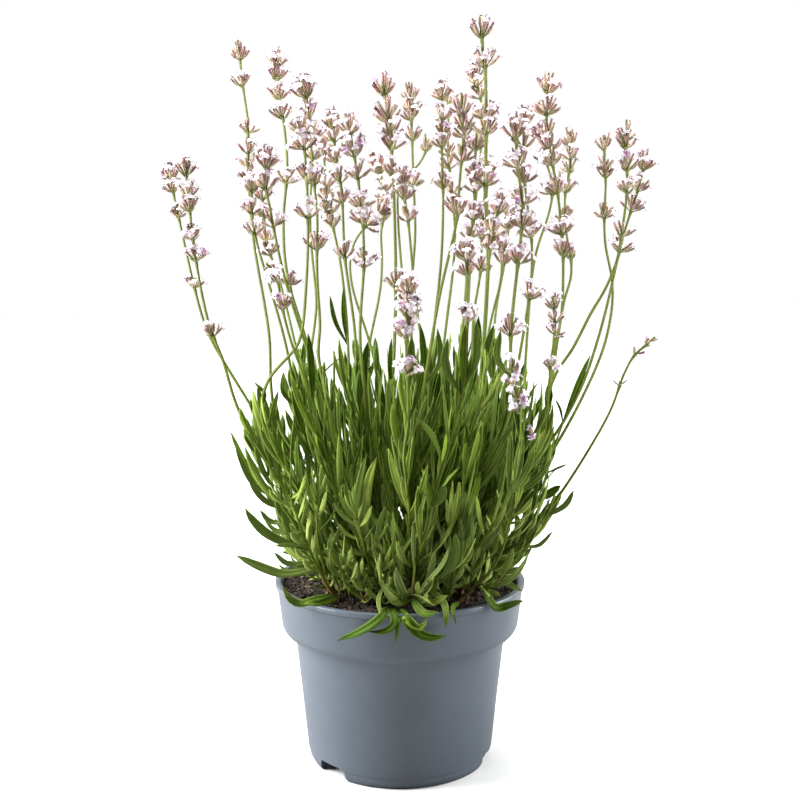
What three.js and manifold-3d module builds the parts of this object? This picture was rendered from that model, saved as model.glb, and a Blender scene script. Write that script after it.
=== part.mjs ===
// Potted lavender: a plastic nursery pot of soil with a flowering clump of lavender in it.
// Millimetres, +Z up, origin at the middle of the pot's foot, the side seen first towards -Y.
import * as THREE from 'three';
import { mergeVertices } from 'three/addons/utils/BufferGeometryUtils.js';
import Module from 'manifold-3d';

const wasm = await Module();
wasm.setup();

// The pot: heights above the surface it stands on, and radii of its outside
const potHeight = 110;
const rimRadius = 75;
const lipHeight = 3.6;
const lipStep = 1.2;
const lipSlope = 0.6;
const lipLedge = 2.4;
const collarTopRadius = rimRadius - lipStep;
const collarFootRadius = 71.2;
const collarFootHeight = 83.5;
const shoulderWidth = 6;
const shoulderRise = 1;
const neckRadius = 63.5;
const neckHeight = 79.4;
const bodyFootRadius = 55.2;
const bodyFootHeight = 3;
const footRadius = 53.5;
const wallThickness = 1.6;
const floorHeight = 9;
const floorSlope = 2;
const footRingWidth = 2.2;
const potSides = 40;

// Slots in the foot ring that let water out, as turns round the pot from the front
const slotAngles = [-46.5, 73.5, -166.5];
const slotWidth = 20;
const slotHeight = 8;
const slotCorner = 3;
const slotFlare = 1.5;
const slotDepth = 12;
const slotReach = 4;

// Drain holes in the pot's floor
const drainHoles = 6;
const drainHoleRadius = 4;
const drainHoleSides = 12;
const drainRingRadius = 36;

// Soil
const soilEdgeHeight = 105.5;
const soilMiddleHeight = 107;
const soilBrow = 0.6;
const soilSides = 24;

// The woody crown: limbs that lie half sunk in the soil and carry the shoots
const limbCount = 8;
const limbNearRadius = 6.2;
const limbEndRadius = 3.4;
const limbLength = 50;
const limbHeight = 105.5;
const limbSides = 6;
const firstFoot = 9;
const lastFoot = 46;
const spreadHeight = 95;

// Stems and their whorls of flowers
const gap = 0.3;
const footGap = 0.45;
const footRise = 3;
const stemFootRadius = 1.35;
const stemTipRadius = 0.75;
const stemSides = 4;
const straightTo = 0.45;
const straightSteps = 12;
const whorlRadius = 5.6;
const topWhorlScale = 0.8;
const whorlRise = 5;
const whorlDrop = 4;
const closeWhorls = 12;
const closestRings = 0.6;

// Room between stems, and how far one may bend back or forward to find it
const stemRoom = 0.9;
const sampleStep = 2.5;
const bendStep = 3;
const farthestBend = 27;

// Leaves: rows of how far along the leaf, and how wide there
const leafLength = 44;
const leafWidth = 5;
const leafThickness = 0.9;
const leafRows = [[0, 0.24], [0.5, 1], [1, 0]];
const leafBend = 0.35;
const leafSeat = 0.15;
const lowLeaf = 36;
const leafTurns = [0, 0.45, -0.45, 0.9, -0.9];
const leafLengths = [1, 0.75];
const leavesTurn = 2.4;
const flowerLeafSpread = 0.3;
const lowLeafSpread = 0.55;
const highLeafSpread = 0.3;

// Routes are given as they look from the front: [x, z] on the upright plane through the pot's
// axis, seen from this point. A route's depth says how far behind that plane it really runs.
const viewDistance = 704;
const viewHeight = 314;

// Flower stems, from the tip of the spike down: the route, its depth at the tip and at the
// low end, and the heights of the whorls on it, all as seen from the front.
const flowerStems = [
  { route: [[-133, 353], [-131, 338], [-125, 308], [-120, 283], [-113, 258], [-103, 239],
      [-90, 217], [-79, 198]],
    depth: [40, 28], whorls: [349, 342, 326, 287] },
  { route: [[-124, 356], [-122, 330], [-119, 300], [-112, 262], [-104, 240], [-100, 224],
      [-93, 205], [-85, 190]],
    depth: [-16, -14], whorls: [352, 339, 330, 317, 304, 257] },
  { route: [[-92, 424], [-90, 400], [-87.5, 382], [-87.5, 358], [-87, 335], [-84, 302],
      [-79, 272], [-76.5, 250], [-76.5, 230], [-75, 213], [-71, 196]],
    depth: [44, 34], whorls: [417, 403, 376, 366, 358, 350] },
  { route: [[-86, 346], [-85, 318], [-80, 300], [-75, 280], [-70, 262], [-66, 245],
      [-62, 222], [-57, 200]],
    depth: [-2, 0], whorls: [341, 332, 319] },
  { route: [[-76, 361], [-78, 346], [-75, 328], [-70, 300], [-64, 278], [-58, 258],
      [-52, 240], [-46, 220]],
    depth: [-52, -34], whorls: [355, 346, 323] },
  { route: [[-80, 341], [-79, 325], [-77, 308], [-71, 290], [-66, 270], [-62, 250],
      [-57, 228], [-53, 205]],
    depth: [78, 50], whorls: [336, 326, 314, 306] },
  { route: [[-78, 298], [-72, 289], [-69, 272], [-64, 252], [-58, 235], [-52, 212]],
    depth: [-78, -50], whorls: [292, 273] },
  { route: [[-71, 416], [-70, 396], [-67, 380], [-65, 354], [-67.5, 325], [-67, 300],
      [-63, 278], [-57, 258], [-52, 240], [-49, 215]],
    depth: [60, 40], whorls: [412, 404, 396, 382, 348, 286] },
  { route: [[-56, 404], [-53, 388], [-51.5, 370], [-50, 348], [-48, 325], [-48.5, 300],
      [-48, 280], [-47, 262], [-48, 245], [-44, 222]],
    depth: [-22, -14], whorls: [396, 385, 371, 349, 311] },
  { route: [[-58, 384], [-56, 372], [-54, 350], [-53.5, 330], [-53.5, 308], [-55.5, 284],
      [-57, 262], [-61, 249], [-70, 239], [-78, 229], [-82, 214], [-80, 200]],
    depth: [-64, -40], whorls: [377, 367, 348, 330] },
  { route: [[-46, 377], [-50, 362], [-51, 340], [-52, 315], [-50, 295], [-49, 275],
      [-51, 255], [-54, 235], [-55, 210]],
    depth: [90, 58], whorls: [372, 360] },
  { route: [[-44, 367], [-43.5, 356], [-43, 340], [-41, 328], [-38, 315], [-35, 300],
      [-33, 282], [-31, 262], [-30, 240], [-29, 215]],
    depth: [34, 22], whorls: [362, 345, 337, 330, 322] },
  { route: [[-41, 386], [-38, 374], [-37.5, 358], [-34.5, 345], [-33, 325], [-32.5, 308],
      [-31, 290], [-28, 272], [-26, 250], [-25, 225]],
    depth: [8, 0], whorls: [379, 371, 360, 347, 334, 303] },
  { route: [[-30, 384], [-28, 368], [-25, 352], [-23.5, 340], [-21.5, 320], [-21, 300],
      [-21.5, 282], [-23.5, 262], [-22.5, 240], [-20, 215]],
    depth: [-44, -28], whorls: [377, 369, 361, 349, 333, 325, 301] },
  { route: [[-8, 332], [-13, 325], [-20, 319], [-26, 311], [-29, 300], [-28, 285],
      [-23, 268], [-18, 252], [-14, 235], [-12, 210]],
    depth: [62, 40], whorls: [328, 321] },
  { route: [[-10, 401], [-8, 388], [-5.5, 377], [-5, 365], [-4, 350], [-3, 330],
      [-2.5, 305], [-2.5, 280], [-3, 258], [-4, 235], [-6, 205]],
    depth: [12, 4], whorls: [396, 387, 380, 374, 365, 351, 289] },
  { route: [[-16, 362], [-12.5, 352], [-9, 342], [-9, 328], [-11, 315], [-10.5, 300],
      [-11.5, 283], [-15, 265], [-18, 250], [-19, 230], [-18, 205]],
    depth: [84, 54], whorls: [357, 351, 344, 335, 324] },
  { route: [[5, 401], [6, 390], [6.8, 376], [7.3, 358], [8, 340], [9, 322], [8, 303],
      [7, 288], [6.5, 265], [7, 240], [8, 212]],
    depth: [42, 28], whorls: [394, 388, 382, 371, 346] },
  { route: [[14.5, 372], [15, 363], [12, 356], [7, 351.5], [2, 348], [-0.8, 342],
      [-1.3, 328], [-0.3, 312], [1, 298], [2, 280], [4, 258], [6, 235]],
    depth: [72, 46], whorls: [367, 357] },
  { route: [[0.5, 350], [2, 338], [4.5, 324], [6, 310], [7, 296], [9, 278], [11, 262],
      [14, 245], [17, 222]],
    depth: [-16, -12], whorls: [345, 337, 328] },
  { route: [[4, 288], [5, 277], [4, 266], [3.5, 250], [4.3, 233], [5, 218], [4.5, 200],
      [2.5, 187], [3, 172], [5.5, 152]],
    depth: [-88, -62], whorls: [283, 277, 271, 264, 258, 234] },
  { route: [[23, 402], [24, 390], [24, 372], [24.5, 352], [25, 338], [24.8, 318],
      [24, 300], [22.5, 283], [20.5, 265], [18.5, 248], [17, 225]],
    depth: [24, 12], whorls: [396, 383, 377, 366, 344] },
  { route: [[29, 399], [28, 388], [27.5, 370], [28, 357], [29.5, 344], [31, 330],
      [32, 316], [31, 295], [28.5, 276], [26.5, 258], [25, 238], [25, 212]],
    depth: [62, 40], whorls: [393, 362, 354, 340, 332] },
  { route: [[35, 395], [36, 384], [36.7, 372], [35.5, 357], [34, 340], [33.5, 326],
      [29.5, 306], [25, 288], [21.5, 270], [18.5, 252], [15, 230]],
    depth: [-60, -38], whorls: [387, 380, 373, 359, 331] },
  { route: [[42, 412], [43.5, 400], [46, 392], [47.5, 382], [47, 365], [45, 348],
      [44, 330], [42.5, 314], [41, 296], [40, 276], [39, 255], [37, 232], [35, 208]],
    depth: [76, 48], whorls: [406, 401, 395, 349] },
  { route: [[46, 438], [46.5, 425], [48, 414], [49.2, 400], [49.3, 380], [49.5, 358],
      [49.5, 335], [50.5, 315], [51.5, 300], [50.5, 280], [49.3, 262], [48, 242],
      [46, 218]],
    depth: [-34, -20], whorls: [430, 413, 384, 377, 348] },
  { route: [[44, 374], [43.5, 362], [43, 345], [43, 328], [41, 316], [39.5, 300],
      [38.5, 282], [37, 262], [34, 240], [30, 218]],
    depth: [0, -6], whorls: [368, 349, 341, 327, 316] },
  { route: [[38, 308], [39, 297], [39.3, 282], [39.5, 268], [39, 252], [38.5, 234],
      [36, 216], [31, 196], [25, 176], [19.5, 155], [16, 138]],
    depth: [-80, -62], whorls: [303, 297, 270] },
  { route: [[50, 356], [49.5, 346], [48.5, 333], [47.5, 315], [47.5, 300], [46, 285],
      [43.5, 270], [42.5, 252], [42, 230], [41, 205]],
    depth: [46, 30], whorls: [351, 328, 314, 295] },
  { route: [[58, 335], [56, 324], [53.5, 314], [52, 300], [51, 284], [50, 266],
      [49, 248], [49, 225]],
    depth: [-72, -46], whorls: [329, 319, 311] },
  { route: [[58, 316], [59.7, 303], [59, 290], [56.5, 277], [53.5, 265], [51, 250],
      [50, 230], [49, 205]],
    depth: [18, 8], whorls: [309, 302] },
  { route: [[64.5, 334], [63.5, 323], [62, 310], [61, 298], [58.5, 285], [56.5, 272],
      [55, 255], [54.5, 235], [55, 210]],
    depth: [80, 50], whorls: [328, 321] },
  { route: [[66, 382], [66.7, 368], [68, 352], [70.5, 336], [70.7, 318], [69, 300],
      [67, 282], [65.5, 264], [65, 248], [65, 232], [64, 210]],
    depth: [-50, -34], whorls: [375, 357, 335, 324, 303, 258] },
  { route: [[72, 387], [71, 372], [71.5, 355], [73, 335], [76, 317], [77, 300],
      [76.3, 284], [74.5, 270], [72, 256], [69, 240], [66, 222], [62, 200]],
    depth: [10, 4], whorls: [381, 369, 347, 317, 281] },
  { route: [[80, 376], [81.5, 367], [84.5, 356], [88, 342], [87.5, 332], [84, 319],
      [80, 307], [77.5, 294], [76, 275], [75, 258], [74, 240], [72, 215]],
    depth: [54, 34], whorls: [371, 360, 341] },
  { route: [[85, 406], [84.3, 394], [84, 380], [86, 364], [89, 350], [91.5, 337],
      [93.5, 320], [95, 305], [95, 288], [95, 272], [93, 257], [90, 240], [87.5, 222],
      [85, 200]],
    depth: [-10, -4], whorls: [398, 386, 376, 366, 357, 344, 319, 304] },
  { route: [[97.5, 372], [98, 362], [98, 352], [96, 342], [95.5, 330], [96.5, 315],
      [99.5, 302], [99.8, 290], [97, 280], [94.5, 266], [92.5, 252], [91, 238],
      [89, 222], [84, 200]],
    depth: [38, 24], whorls: [367, 361, 353, 342, 325, 305] },
  { route: [[117.5, 370], [118, 356], [119, 342], [118.5, 326], [119.5, 309],
      [122.5, 296], [124.3, 284], [124, 270], [121.5, 256], [118, 243], [112, 229],
      [105, 213], [96, 197], [88, 182]],
    depth: [14, 8], whorls: [365, 356, 349, 329] },
  { route: [[130, 380], [129.7, 367], [130.8, 354], [131.5, 343], [130.5, 330],
      [129, 316], [127, 302], [123, 290], [118, 279], [112, 269], [107, 259],
      [101, 247], [93, 235], [88, 222], [85, 206]],
    depth: [-40, -26], whorls: [372, 366, 357, 344, 317] },
  { route: [[141, 359], [140, 350], [138, 342], [135, 331], [131.5, 321], [128.7, 309],
      [126, 297], [123, 282], [120.5, 270], [117, 256], [113, 242], [108, 227],
      [101, 212], [93, 198]],
    depth: [-8, -4], whorls: [355, 344, 331, 309] },
  { route: [[150, 255], [144, 249.5], [138, 244], [133.5, 236], [130.5, 228],
      [126, 214], [120, 202], [112, 187], [103, 172], [94, 158], [86, 147], [78, 136]],
    depth: [-24, -20], whorls: [252.5, 247, 228] },
  { route: [[90, 279], [90.5, 268], [91, 257], [89.7, 247], [89, 237], [88, 224],
      [87.5, 210], [85, 192]],
    depth: [-70, -44], whorls: [273, 266, 259, 239] },
  { route: [[66, 242], [67, 230], [69, 220], [71, 210], [72, 198], [71, 182], [67, 165],
      [60, 148]],
    depth: [-90, -62], whorls: [237, 230, 223, 213] },
];

// Leafy shoots that carry no flowers, given in the same way
const leafyShoots = [
  { route: [[-84, 184], [-77, 166], [-68, 150], [-60, 136], [-52, 120]], depth: [-8, -28] },
  { route: [[-72, 192], [-66, 165], [-58, 145], [-50, 125]], depth: [40, 34] },
  { route: [[-60, 212], [-56, 190], [-50, 160], [-44, 130]], depth: [58, 50] },
  { route: [[-37, 186], [-30, 160], [-25, 142], [-20, 124]], depth: [-40, -42] },
  { route: [[-3, 205], [-3, 180], [-2, 155], [-1, 132]], depth: [-30, -34] },
  { route: [[9, 116], [8, 104], [7, 96]], depth: [-62, -58] },
  { route: [[38, 176], [38, 150], [36, 130]], depth: [-40, -42] },
  { route: [[29, 144], [30, 125], [30, 112]], depth: [-54, -52] },
  { route: [[71, 206], [68, 180], [64, 155], [60, 132]], depth: [-24, -28] },
  { route: [[99, 210], [92, 190], [84, 168], [75, 145], [66, 128]], depth: [2, 0] },
  { route: [[91, 152], [80, 140], [70, 128]], depth: [-14, -16] },
  { route: [[62, 112], [56, 104]], depth: [-46, -44] },
  { route: [[-28, 222], [-24, 190], [-20, 160], [-16, 140]], depth: [56, 48] },
  { route: [[34, 222], [30, 190], [26, 160], [20, 140]], depth: [56, 48] },
];

const finish = {
  pot: new THREE.MeshStandardMaterial({ color: 0x7b838d, roughness: 0.55, metalness: 0 }),
  soil: new THREE.MeshStandardMaterial({ color: 0x2b211c, roughness: 0.95, metalness: 0 }),
  wood: new THREE.MeshStandardMaterial({ color: 0x6b4a35, roughness: 0.85, metalness: 0 }),
  flower: new THREE.MeshStandardMaterial({ color: 0x8f8f5a, roughness: 0.7, metalness: 0 }),
  leaf: new THREE.MeshStandardMaterial({ color: 0x5d7a2e, roughness: 0.6, metalness: 0 }),
};

const object = new THREE.Group();

// ---- geometry helpers ----

function solidOf(geometry) {
  const plain = geometry.clone();
  plain.deleteAttribute('normal');
  plain.deleteAttribute('uv');
  const merged = mergeVertices(plain, 1e-4);
  const corners = merged.index.array;
  const triangles = [];
  for (let i = 0; i < corners.length; i += 3) {
    const [a, b, c] = corners.slice(i, i + 3);
    if (a !== b && b !== c && c !== a) {
      triangles.push(a, b, c);
    }
  }
  return new wasm.Manifold(new wasm.Mesh({
    numProp: 3,
    vertProperties: new Float32Array(merged.attributes.position.array),
    triVerts: new Uint32Array(triangles),
  }));
}

function geometryOf(solid) {
  const mesh = solid.getMesh();
  const geometry = new THREE.BufferGeometry();
  geometry.setAttribute('position', new THREE.BufferAttribute(mesh.vertProperties, 3));
  geometry.setIndex(new THREE.BufferAttribute(mesh.triVerts, 1));
  geometry.computeVertexNormals();
  return geometry;
}

function addPiece(name, solid, material) {
  const mesh = new THREE.Mesh(geometryOf(solid), material);
  mesh.name = name;
  object.add(mesh);
}

function largestBody(solid) {
  const bodies = solid.decompose();
  bodies.sort((a, b) => b.volume() - a.volume());
  return bodies[0];
}

function revolved(profile, sides) {
  const points = profile.map(([r, z]) => new THREE.Vector2(r, z));
  const geometry = new THREE.LatheGeometry(points, sides);
  geometry.rotateX(Math.PI / 2);
  return solidOf(geometry);
}

// A unit cylinder whose rows of points are laid on the given rings
function sleeve(rings, sides) {
  const geometry = new THREE.CylinderGeometry(1, 1, 1, sides, rings.length - 1);
  const points = geometry.attributes.position;
  for (let i = 0; i < points.count; i += 1) {
    const ring = rings[Math.round((points.getY(i) + 0.5) * (rings.length - 1))];
    const spot = ring.centre.clone();
    spot.addScaledVector(ring.across, points.getX(i) * ring.halfWidth);
    spot.addScaledVector(ring.through, points.getZ(i) * ring.halfDepth);
    points.setXYZ(i, spot.x, spot.y, spot.z);
  }
  return solidOf(geometry);
}

// The point at this depth that is seen at [x, z] on the upright plane through the axis
function seen([x, z], depth) {
  const reach = (viewDistance + depth) / viewDistance;
  return new THREE.Vector3(x * reach, depth, viewHeight + (z - viewHeight) * reach);
}

function seenHeight(point) {
  const reach = (viewDistance + point.y) / viewDistance;
  return viewHeight + (point.z - viewHeight) / reach;
}

// ---- pot, soil ----

function potProfile() {
  const t = wallThickness;
  return [
    [footRadius - footRingWidth, 0],
    [footRadius, 0],
    [bodyFootRadius, bodyFootHeight],
    [neckRadius, neckHeight],
    [neckRadius + shoulderWidth, neckHeight + shoulderRise],
    [collarFootRadius, collarFootHeight],
    [collarTopRadius, potHeight - lipHeight],
    [rimRadius, potHeight - lipHeight + lipSlope],
    [rimRadius, potHeight],
    [collarTopRadius - t - lipSlope, potHeight],
    [collarTopRadius - t - floorSlope, potHeight - lipLedge],
    [collarFootRadius - t - lipSlope, collarFootHeight + lipSlope],
    [neckRadius - t, neckHeight + 1],
    [bodyFootRadius - t, floorHeight + t],
    [0, floorHeight + t],
    [0, floorHeight],
    [bodyFootRadius - t - floorSlope, floorHeight],
  ];
}

// A round-topped slot through the foot ring, at a turn from the front
function footSlot(turn) {
  const outline = new THREE.Shape();
  const half = slotWidth / 2;
  const [foot, shoulder] = [half + slotFlare, slotHeight - slotCorner];
  outline.moveTo(-foot, -1);
  outline.lineTo(foot, -1);
  outline.lineTo(half, shoulder);
  outline.quadraticCurveTo(half, slotHeight, half - slotCorner, slotHeight);
  outline.lineTo(slotCorner - half, slotHeight);
  outline.quadraticCurveTo(-half, slotHeight, -half, shoulder);
  const options = { depth: slotDepth, bevelEnabled: false, curveSegments: 3 };
  const geometry = new THREE.ExtrudeGeometry(outline, options);
  geometry.rotateX(Math.PI / 2);
  geometry.translate(0, slotDepth - footRadius - slotReach, 0);
  geometry.rotateZ(THREE.MathUtils.degToRad(turn));
  return solidOf(geometry);
}

function drainHole(turn) {
  const [r, depth] = [drainHoleRadius, wallThickness * 4];
  const geometry = new THREE.CylinderGeometry(r, r, depth, drainHoleSides);
  geometry.rotateX(Math.PI / 2);
  geometry.translate(0, -drainRingRadius, floorHeight + wallThickness / 2);
  geometry.rotateZ(turn);
  return solidOf(geometry);
}

function makePot() {
  const profile = potProfile();
  profile.push(profile[0]);
  let pot = revolved(profile, potSides);
  for (const turn of slotAngles) {
    pot = pot.subtract(footSlot(turn));
  }
  for (let k = 0; k < drainHoles; k += 1) {
    pot = pot.subtract(drainHole((k + 0.5) * 2 * Math.PI / drainHoles));
  }
  return pot;
}

function makeSoil() {
  const t = wallThickness + gap;
  const edge = collarTopRadius - t - lipLedge;
  return revolved([
    [0, floorHeight + t],
    [bodyFootRadius - t - wallThickness, floorHeight + t],
    [neckRadius - t - gap, neckHeight + 1 + gap],
    [collarFootRadius - t - 2 * lipSlope, collarFootHeight + lipSlope + gap],
    [edge, soilEdgeHeight],
    [edge * soilBrow, soilMiddleHeight - gap],
    [0, soilMiddleHeight],
  ], soilSides);
}

// ---- shoots ----

const shoots = [];
for (const [index, stem] of flowerStems.entries()) {
  const name = `flower_stem_${String(index + 1).padStart(2, '0')}`;
  shoots.push({ ...stem, name, material: finish.flower, leafPairs: 1 });
}
for (const [index, stem] of leafyShoots.entries()) {
  const name = `leafy_shoot_${String(index + 1).padStart(2, '0')}`;
  shoots.push({ ...stem, name, whorls: [], material: finish.leaf, leafPairs: 4 });
}

function lowPoint(shoot) {
  return seen(shoot.route.at(-1), shoot.depth[1]);
}

// Neighbouring shoots share a limb, nearest the middle first, and stand in a row along it
function giveFeet() {
  const round = shoots.map((shoot) => {
    const low = lowPoint(shoot);
    const spread = 1 + (low.z - limbHeight) / spreadHeight;
    return { shoot, low, turn: Math.atan2(low.y, low.x), reach: Math.hypot(low.x, low.y) / spread };
  });
  round.sort((a, b) => a.turn - b.turn);
  const limbs = [];
  for (let k = 0; k < limbCount; k += 1) {
    const from = Math.round(k * round.length / limbCount);
    const to = Math.round((k + 1) * round.length / limbCount);
    const row = round.slice(from, to).sort((a, b) => a.reach - b.reach);
    const way = new THREE.Vector3();
    row.forEach(({ low }) => way.add(new THREE.Vector3(low.x, low.y, 0)));
    const turn = Math.atan2(way.y, way.x);
    row.forEach(({ shoot }, place) => {
      const out = firstFoot + (lastFoot - firstFoot) * place / (row.length - 1);
      const top = limbHeight + limbRadiusAt(out) * Math.cos(Math.PI / limbSides);
      shoot.foot = new THREE.Vector3(Math.cos(turn) * out, Math.sin(turn) * out, top + footGap);
    });
    limbs.push(turn);
  }
  return limbs;
}

function limbRadiusAt(out) {
  return limbNearRadius + (limbEndRadius - limbNearRadius) * out / limbLength;
}

// The line of a shoot, from its foot up, with its seen part moved back by this much
function lineOf(shoot, moved) {
  const [tipDepth, lowDepth] = shoot.depth;
  const [tipHeight, lowHeight] = [shoot.route[0][1], shoot.route.at(-1)[1]];
  const points = shoot.route.map((point) => {
    const share = (point[1] - lowHeight) / (tipHeight - lowHeight);
    return seen(point, lowDepth + (tipDepth - lowDepth) * share + moved);
  });
  points.push(shoot.foot.clone().add(new THREE.Vector3(0, 0, footRise)), shoot.foot.clone());
  return new THREE.CatmullRomCurve3(points.reverse(), false, 'centripetal');
}

function stemRadiusAt(share) {
  return stemFootRadius + (stemTipRadius - stemFootRadius) * share;
}

// How far up the line, from 0 to 1, each seen height is met first when coming from the tip
function sharesAt(line, heights) {
  const steps = 400;
  const levels = Array.from({ length: steps + 1 }, (_, i) => seenHeight(line.getPointAt(i / steps)));
  return heights.map((height) => {
    let i = steps;
    while (i > 0 && levels[i] > height) {
      i -= 1;
    }
    return i / steps;
  });
}

// Shares of the line between which a straight run keeps to it
function bendsOf(line, from, to) {
  const run = new THREE.Line3(line.getPointAt(from), line.getPointAt(to));
  const near = new THREE.Vector3();
  let farthest = { apart: straightTo };
  for (let i = 1; i < straightSteps; i += 1) {
    const share = from + (to - from) * i / straightSteps;
    const point = line.getPointAt(share);
    run.closestPointToPoint(point, true, near);
    const apart = point.distanceTo(near);
    if (apart > farthest.apart) {
      farthest = { apart, share };
    }
  }
  const { share } = farthest;
  return share ? [...bendsOf(line, from, share), share, ...bendsOf(line, share, to)] : [];
}

// Rings of a shoot: plain ones where the stem bends, and a wide one for every whorl
function ringPlan(shoot, line) {
  const length = line.getLength();
  const marks = sharesAt(line, shoot.whorls).sort((a, b) => a - b);
  const plan = [{ share: 0, radius: stemFootRadius }];
  marks.forEach((mark, i) => {
    const top = i + 1 === marks.length;
    const next = top ? 1 : marks[i + 1];
    const low = Math.max(mark - whorlDrop / length, plan.at(-1).share + 1 / length);
    plan.push({ share: low, radius: stemRadiusAt(low) });
    plan.push({ share: mark, radius: top ? whorlRadius * topWhorlScale : whorlRadius });
    if (top || next - mark >= closeWhorls / length) {
      const high = Math.min(mark + whorlRise / length, (mark + next) / 2);
      plan.push({ share: high, radius: stemRadiusAt(high) });
    }
  });
  plan.push({ share: 1, radius: stemTipRadius });
  const spaced = [plan[0]];
  for (const ring of plan.slice(1)) {
    if (ring.share - spaced.at(-1).share > closestRings / length) {
      spaced.push(ring);
    }
  }
  spaced.at(-1).share = 1;
  const full = [spaced[0]];
  for (const ring of spaced.slice(1)) {
    const below = full.at(-1);
    if (Math.max(ring.radius, below.radius) <= stemFootRadius) {
      for (const share of bendsOf(line, below.share, ring.share)) {
        full.push({ share, radius: stemRadiusAt(share) });
      }
    }
    full.push(ring);
  }
  return full;
}

function ringsOf(line, plan, extra) {
  const depthWay = new THREE.Vector3(0, 1, 0);
  return plan.map(({ share, radius }) => {
    const along = line.getTangentAt(share);
    const across = new THREE.Vector3().crossVectors(depthWay, along).normalize();
    const through = new THREE.Vector3().crossVectors(across, along).normalize();
    const half = radius + extra;
    return { centre: line.getPointAt(share), across, through, halfWidth: half, halfDepth: half };
  });
}

// ---- keeping shoots clear of each other ----

function samplesOf(line, plan) {
  const length = line.getLength();
  const count = Math.ceil(length / sampleStep);
  const samples = [];
  for (let i = 0; i <= count; i += 1) {
    const share = i / count;
    let k = 1;
    while (k < plan.length - 1 && plan[k].share < share) {
      k += 1;
    }
    const [below, above] = [plan[k - 1], plan[k]];
    const mix = (share - below.share) / (above.share - below.share);
    const full = below.radius + (above.radius - below.radius) * mix;
    samples.push({ point: line.getPointAt(share), thin: stemRadiusAt(share), full });
  }
  return samples;
}

function clashes(samples, others) {
  let hard = 0;
  let soft = 0;
  for (const other of others) {
    for (const a of samples) {
      for (const b of other) {
        const apart = a.point.distanceTo(b.point);
        if (apart < a.thin + b.thin + stemRoom) {
          hard += 1;
        } else if (apart < a.full + b.full) {
          soft += 1;
        }
      }
    }
  }
  return { hard, soft };
}

// Each shoot bends back or forward until it clears those placed before it
function placeShoots() {
  const placed = [];
  const moves = [0];
  for (let far = bendStep; far <= farthestBend; far += bendStep) {
    moves.push(far, -far);
  }
  for (const shoot of shoots) {
    let best = null;
    for (const moved of moves) {
      const line = lineOf(shoot, moved);
      const plan = ringPlan(shoot, line);
      const samples = samplesOf(line, plan);
      const { hard, soft } = clashes(samples, placed);
      const cost = hard * 1000 + soft;
      if (!best || cost < best.cost) {
        best = { cost, line, plan, samples };
      }
      if (cost === 0) {
        break;
      }
    }
    shoot.line = best.line;
    shoot.plan = best.plan;
    placed.push(best.samples);
  }
}

// ---- leaves ----

// A narrow leaf that leaves the stem at a share of its length and bends towards upright
function leafAt(line, share, turn, length, spread, extra) {
  const along = line.getTangentAt(share);
  const side = new THREE.Vector3(Math.cos(turn), Math.sin(turn), 0);
  const out = side.clone().addScaledVector(along, -side.dot(along)).normalize();
  const across = new THREE.Vector3().crossVectors(along, out).normalize();
  const start = line.getPointAt(share).addScaledVector(out, leafSeat);
  const rings = leafRows.map(([reach, width]) => {
    const lean = spread * (1 - leafBend * reach);
    const centre = start.clone();
    centre.addScaledVector(out, Math.sin(lean) * (length + extra) * reach);
    centre.addScaledVector(along, Math.cos(lean) * (length + extra) * reach);
    const through = out.clone().multiplyScalar(Math.cos(lean));
    through.addScaledVector(along, -Math.sin(lean));
    return {
      centre,
      across,
      through,
      halfWidth: leafWidth / 2 * width + extra,
      halfDepth: (width > 0 ? leafThickness / 2 : 0) + extra,
    };
  });
  return sleeve(rings, 3);
}

function touches(solid, others) {
  const box = solid.boundingBox();
  return others.some((other) => {
    const far = [0, 1, 2].some((i) => box.min[i] > other.box.max[i] || box.max[i] < other.box.min[i]);
    return !far && solid.intersect(other.solid).volume() > 1e-6;
  });
}

function boxed(solid) {
  return { solid, box: solid.boundingBox() };
}

// ---- assembly ----

const limbTurns = giveFeet();
placeShoots();

function makeCrown(extra) {
  let crown = null;
  for (const turn of limbTurns) {
    const [near, far] = [limbNearRadius + extra, limbEndRadius + extra];
    const [length, start] = [limbLength + extra, Math.PI / limbSides];
    const geometry = new THREE.CylinderGeometry(far, near, length, limbSides, 1, false, start);
    geometry.rotateZ(-Math.PI / 2);
    geometry.translate(length / 2, 0, limbHeight);
    geometry.rotateZ(turn);
    const limb = solidOf(geometry);
    crown = crown ? crown.add(limb) : limb;
  }
  return crown;
}

const pot = makePot();
const crown = makeCrown(0);
const soil = makeSoil().subtract(makeCrown(gap));
addPiece('pot', pot, finish.pot);
addPiece('soil', soil, finish.soil);
addPiece('woody_crown', crown, finish.wood);

// Stems first; where spikes crowd, the later one is cut back clear of the earlier ones
const standing = [pot, soil, crown].map(boxed);
for (const shoot of shoots) {
  shoot.room = sleeve(ringsOf(shoot.line, shoot.plan, gap), stemSides);
}
shoots.forEach((shoot, index) => {
  let solid = sleeve(ringsOf(shoot.line, shoot.plan, 0), stemSides);
  shoots.slice(0, index).forEach((earlier) => {
    solid = solid.subtract(earlier.room);
  });
  shoot.body = boxed(largestBody(solid));
});

// Leaves in opposite pairs, each pair turned a quarter from the last; a leaf that would touch
// a neighbour turns aside or stays shorter, or is left off
function addLeaf(shoot, share, turn, length, spread) {
  const others = shoots.filter((other) => other !== shoot).map((other) => other.body);
  others.push(...standing);
  for (const aside of leafTurns) {
    for (const shorter of leafLengths) {
      const way = turn + aside;
      const room = leafAt(shoot.line, share, way, length * shorter, spread, gap);
      if (!touches(room, others)) {
        const leaf = leafAt(shoot.line, share, way, length * shorter, spread, 0);
        const grown = shoot.body.solid.add(leaf);
        if (grown.decompose().length === 1) {
          shoot.body = boxed(grown);
          return;
        }
      }
    }
  }
}

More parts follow.
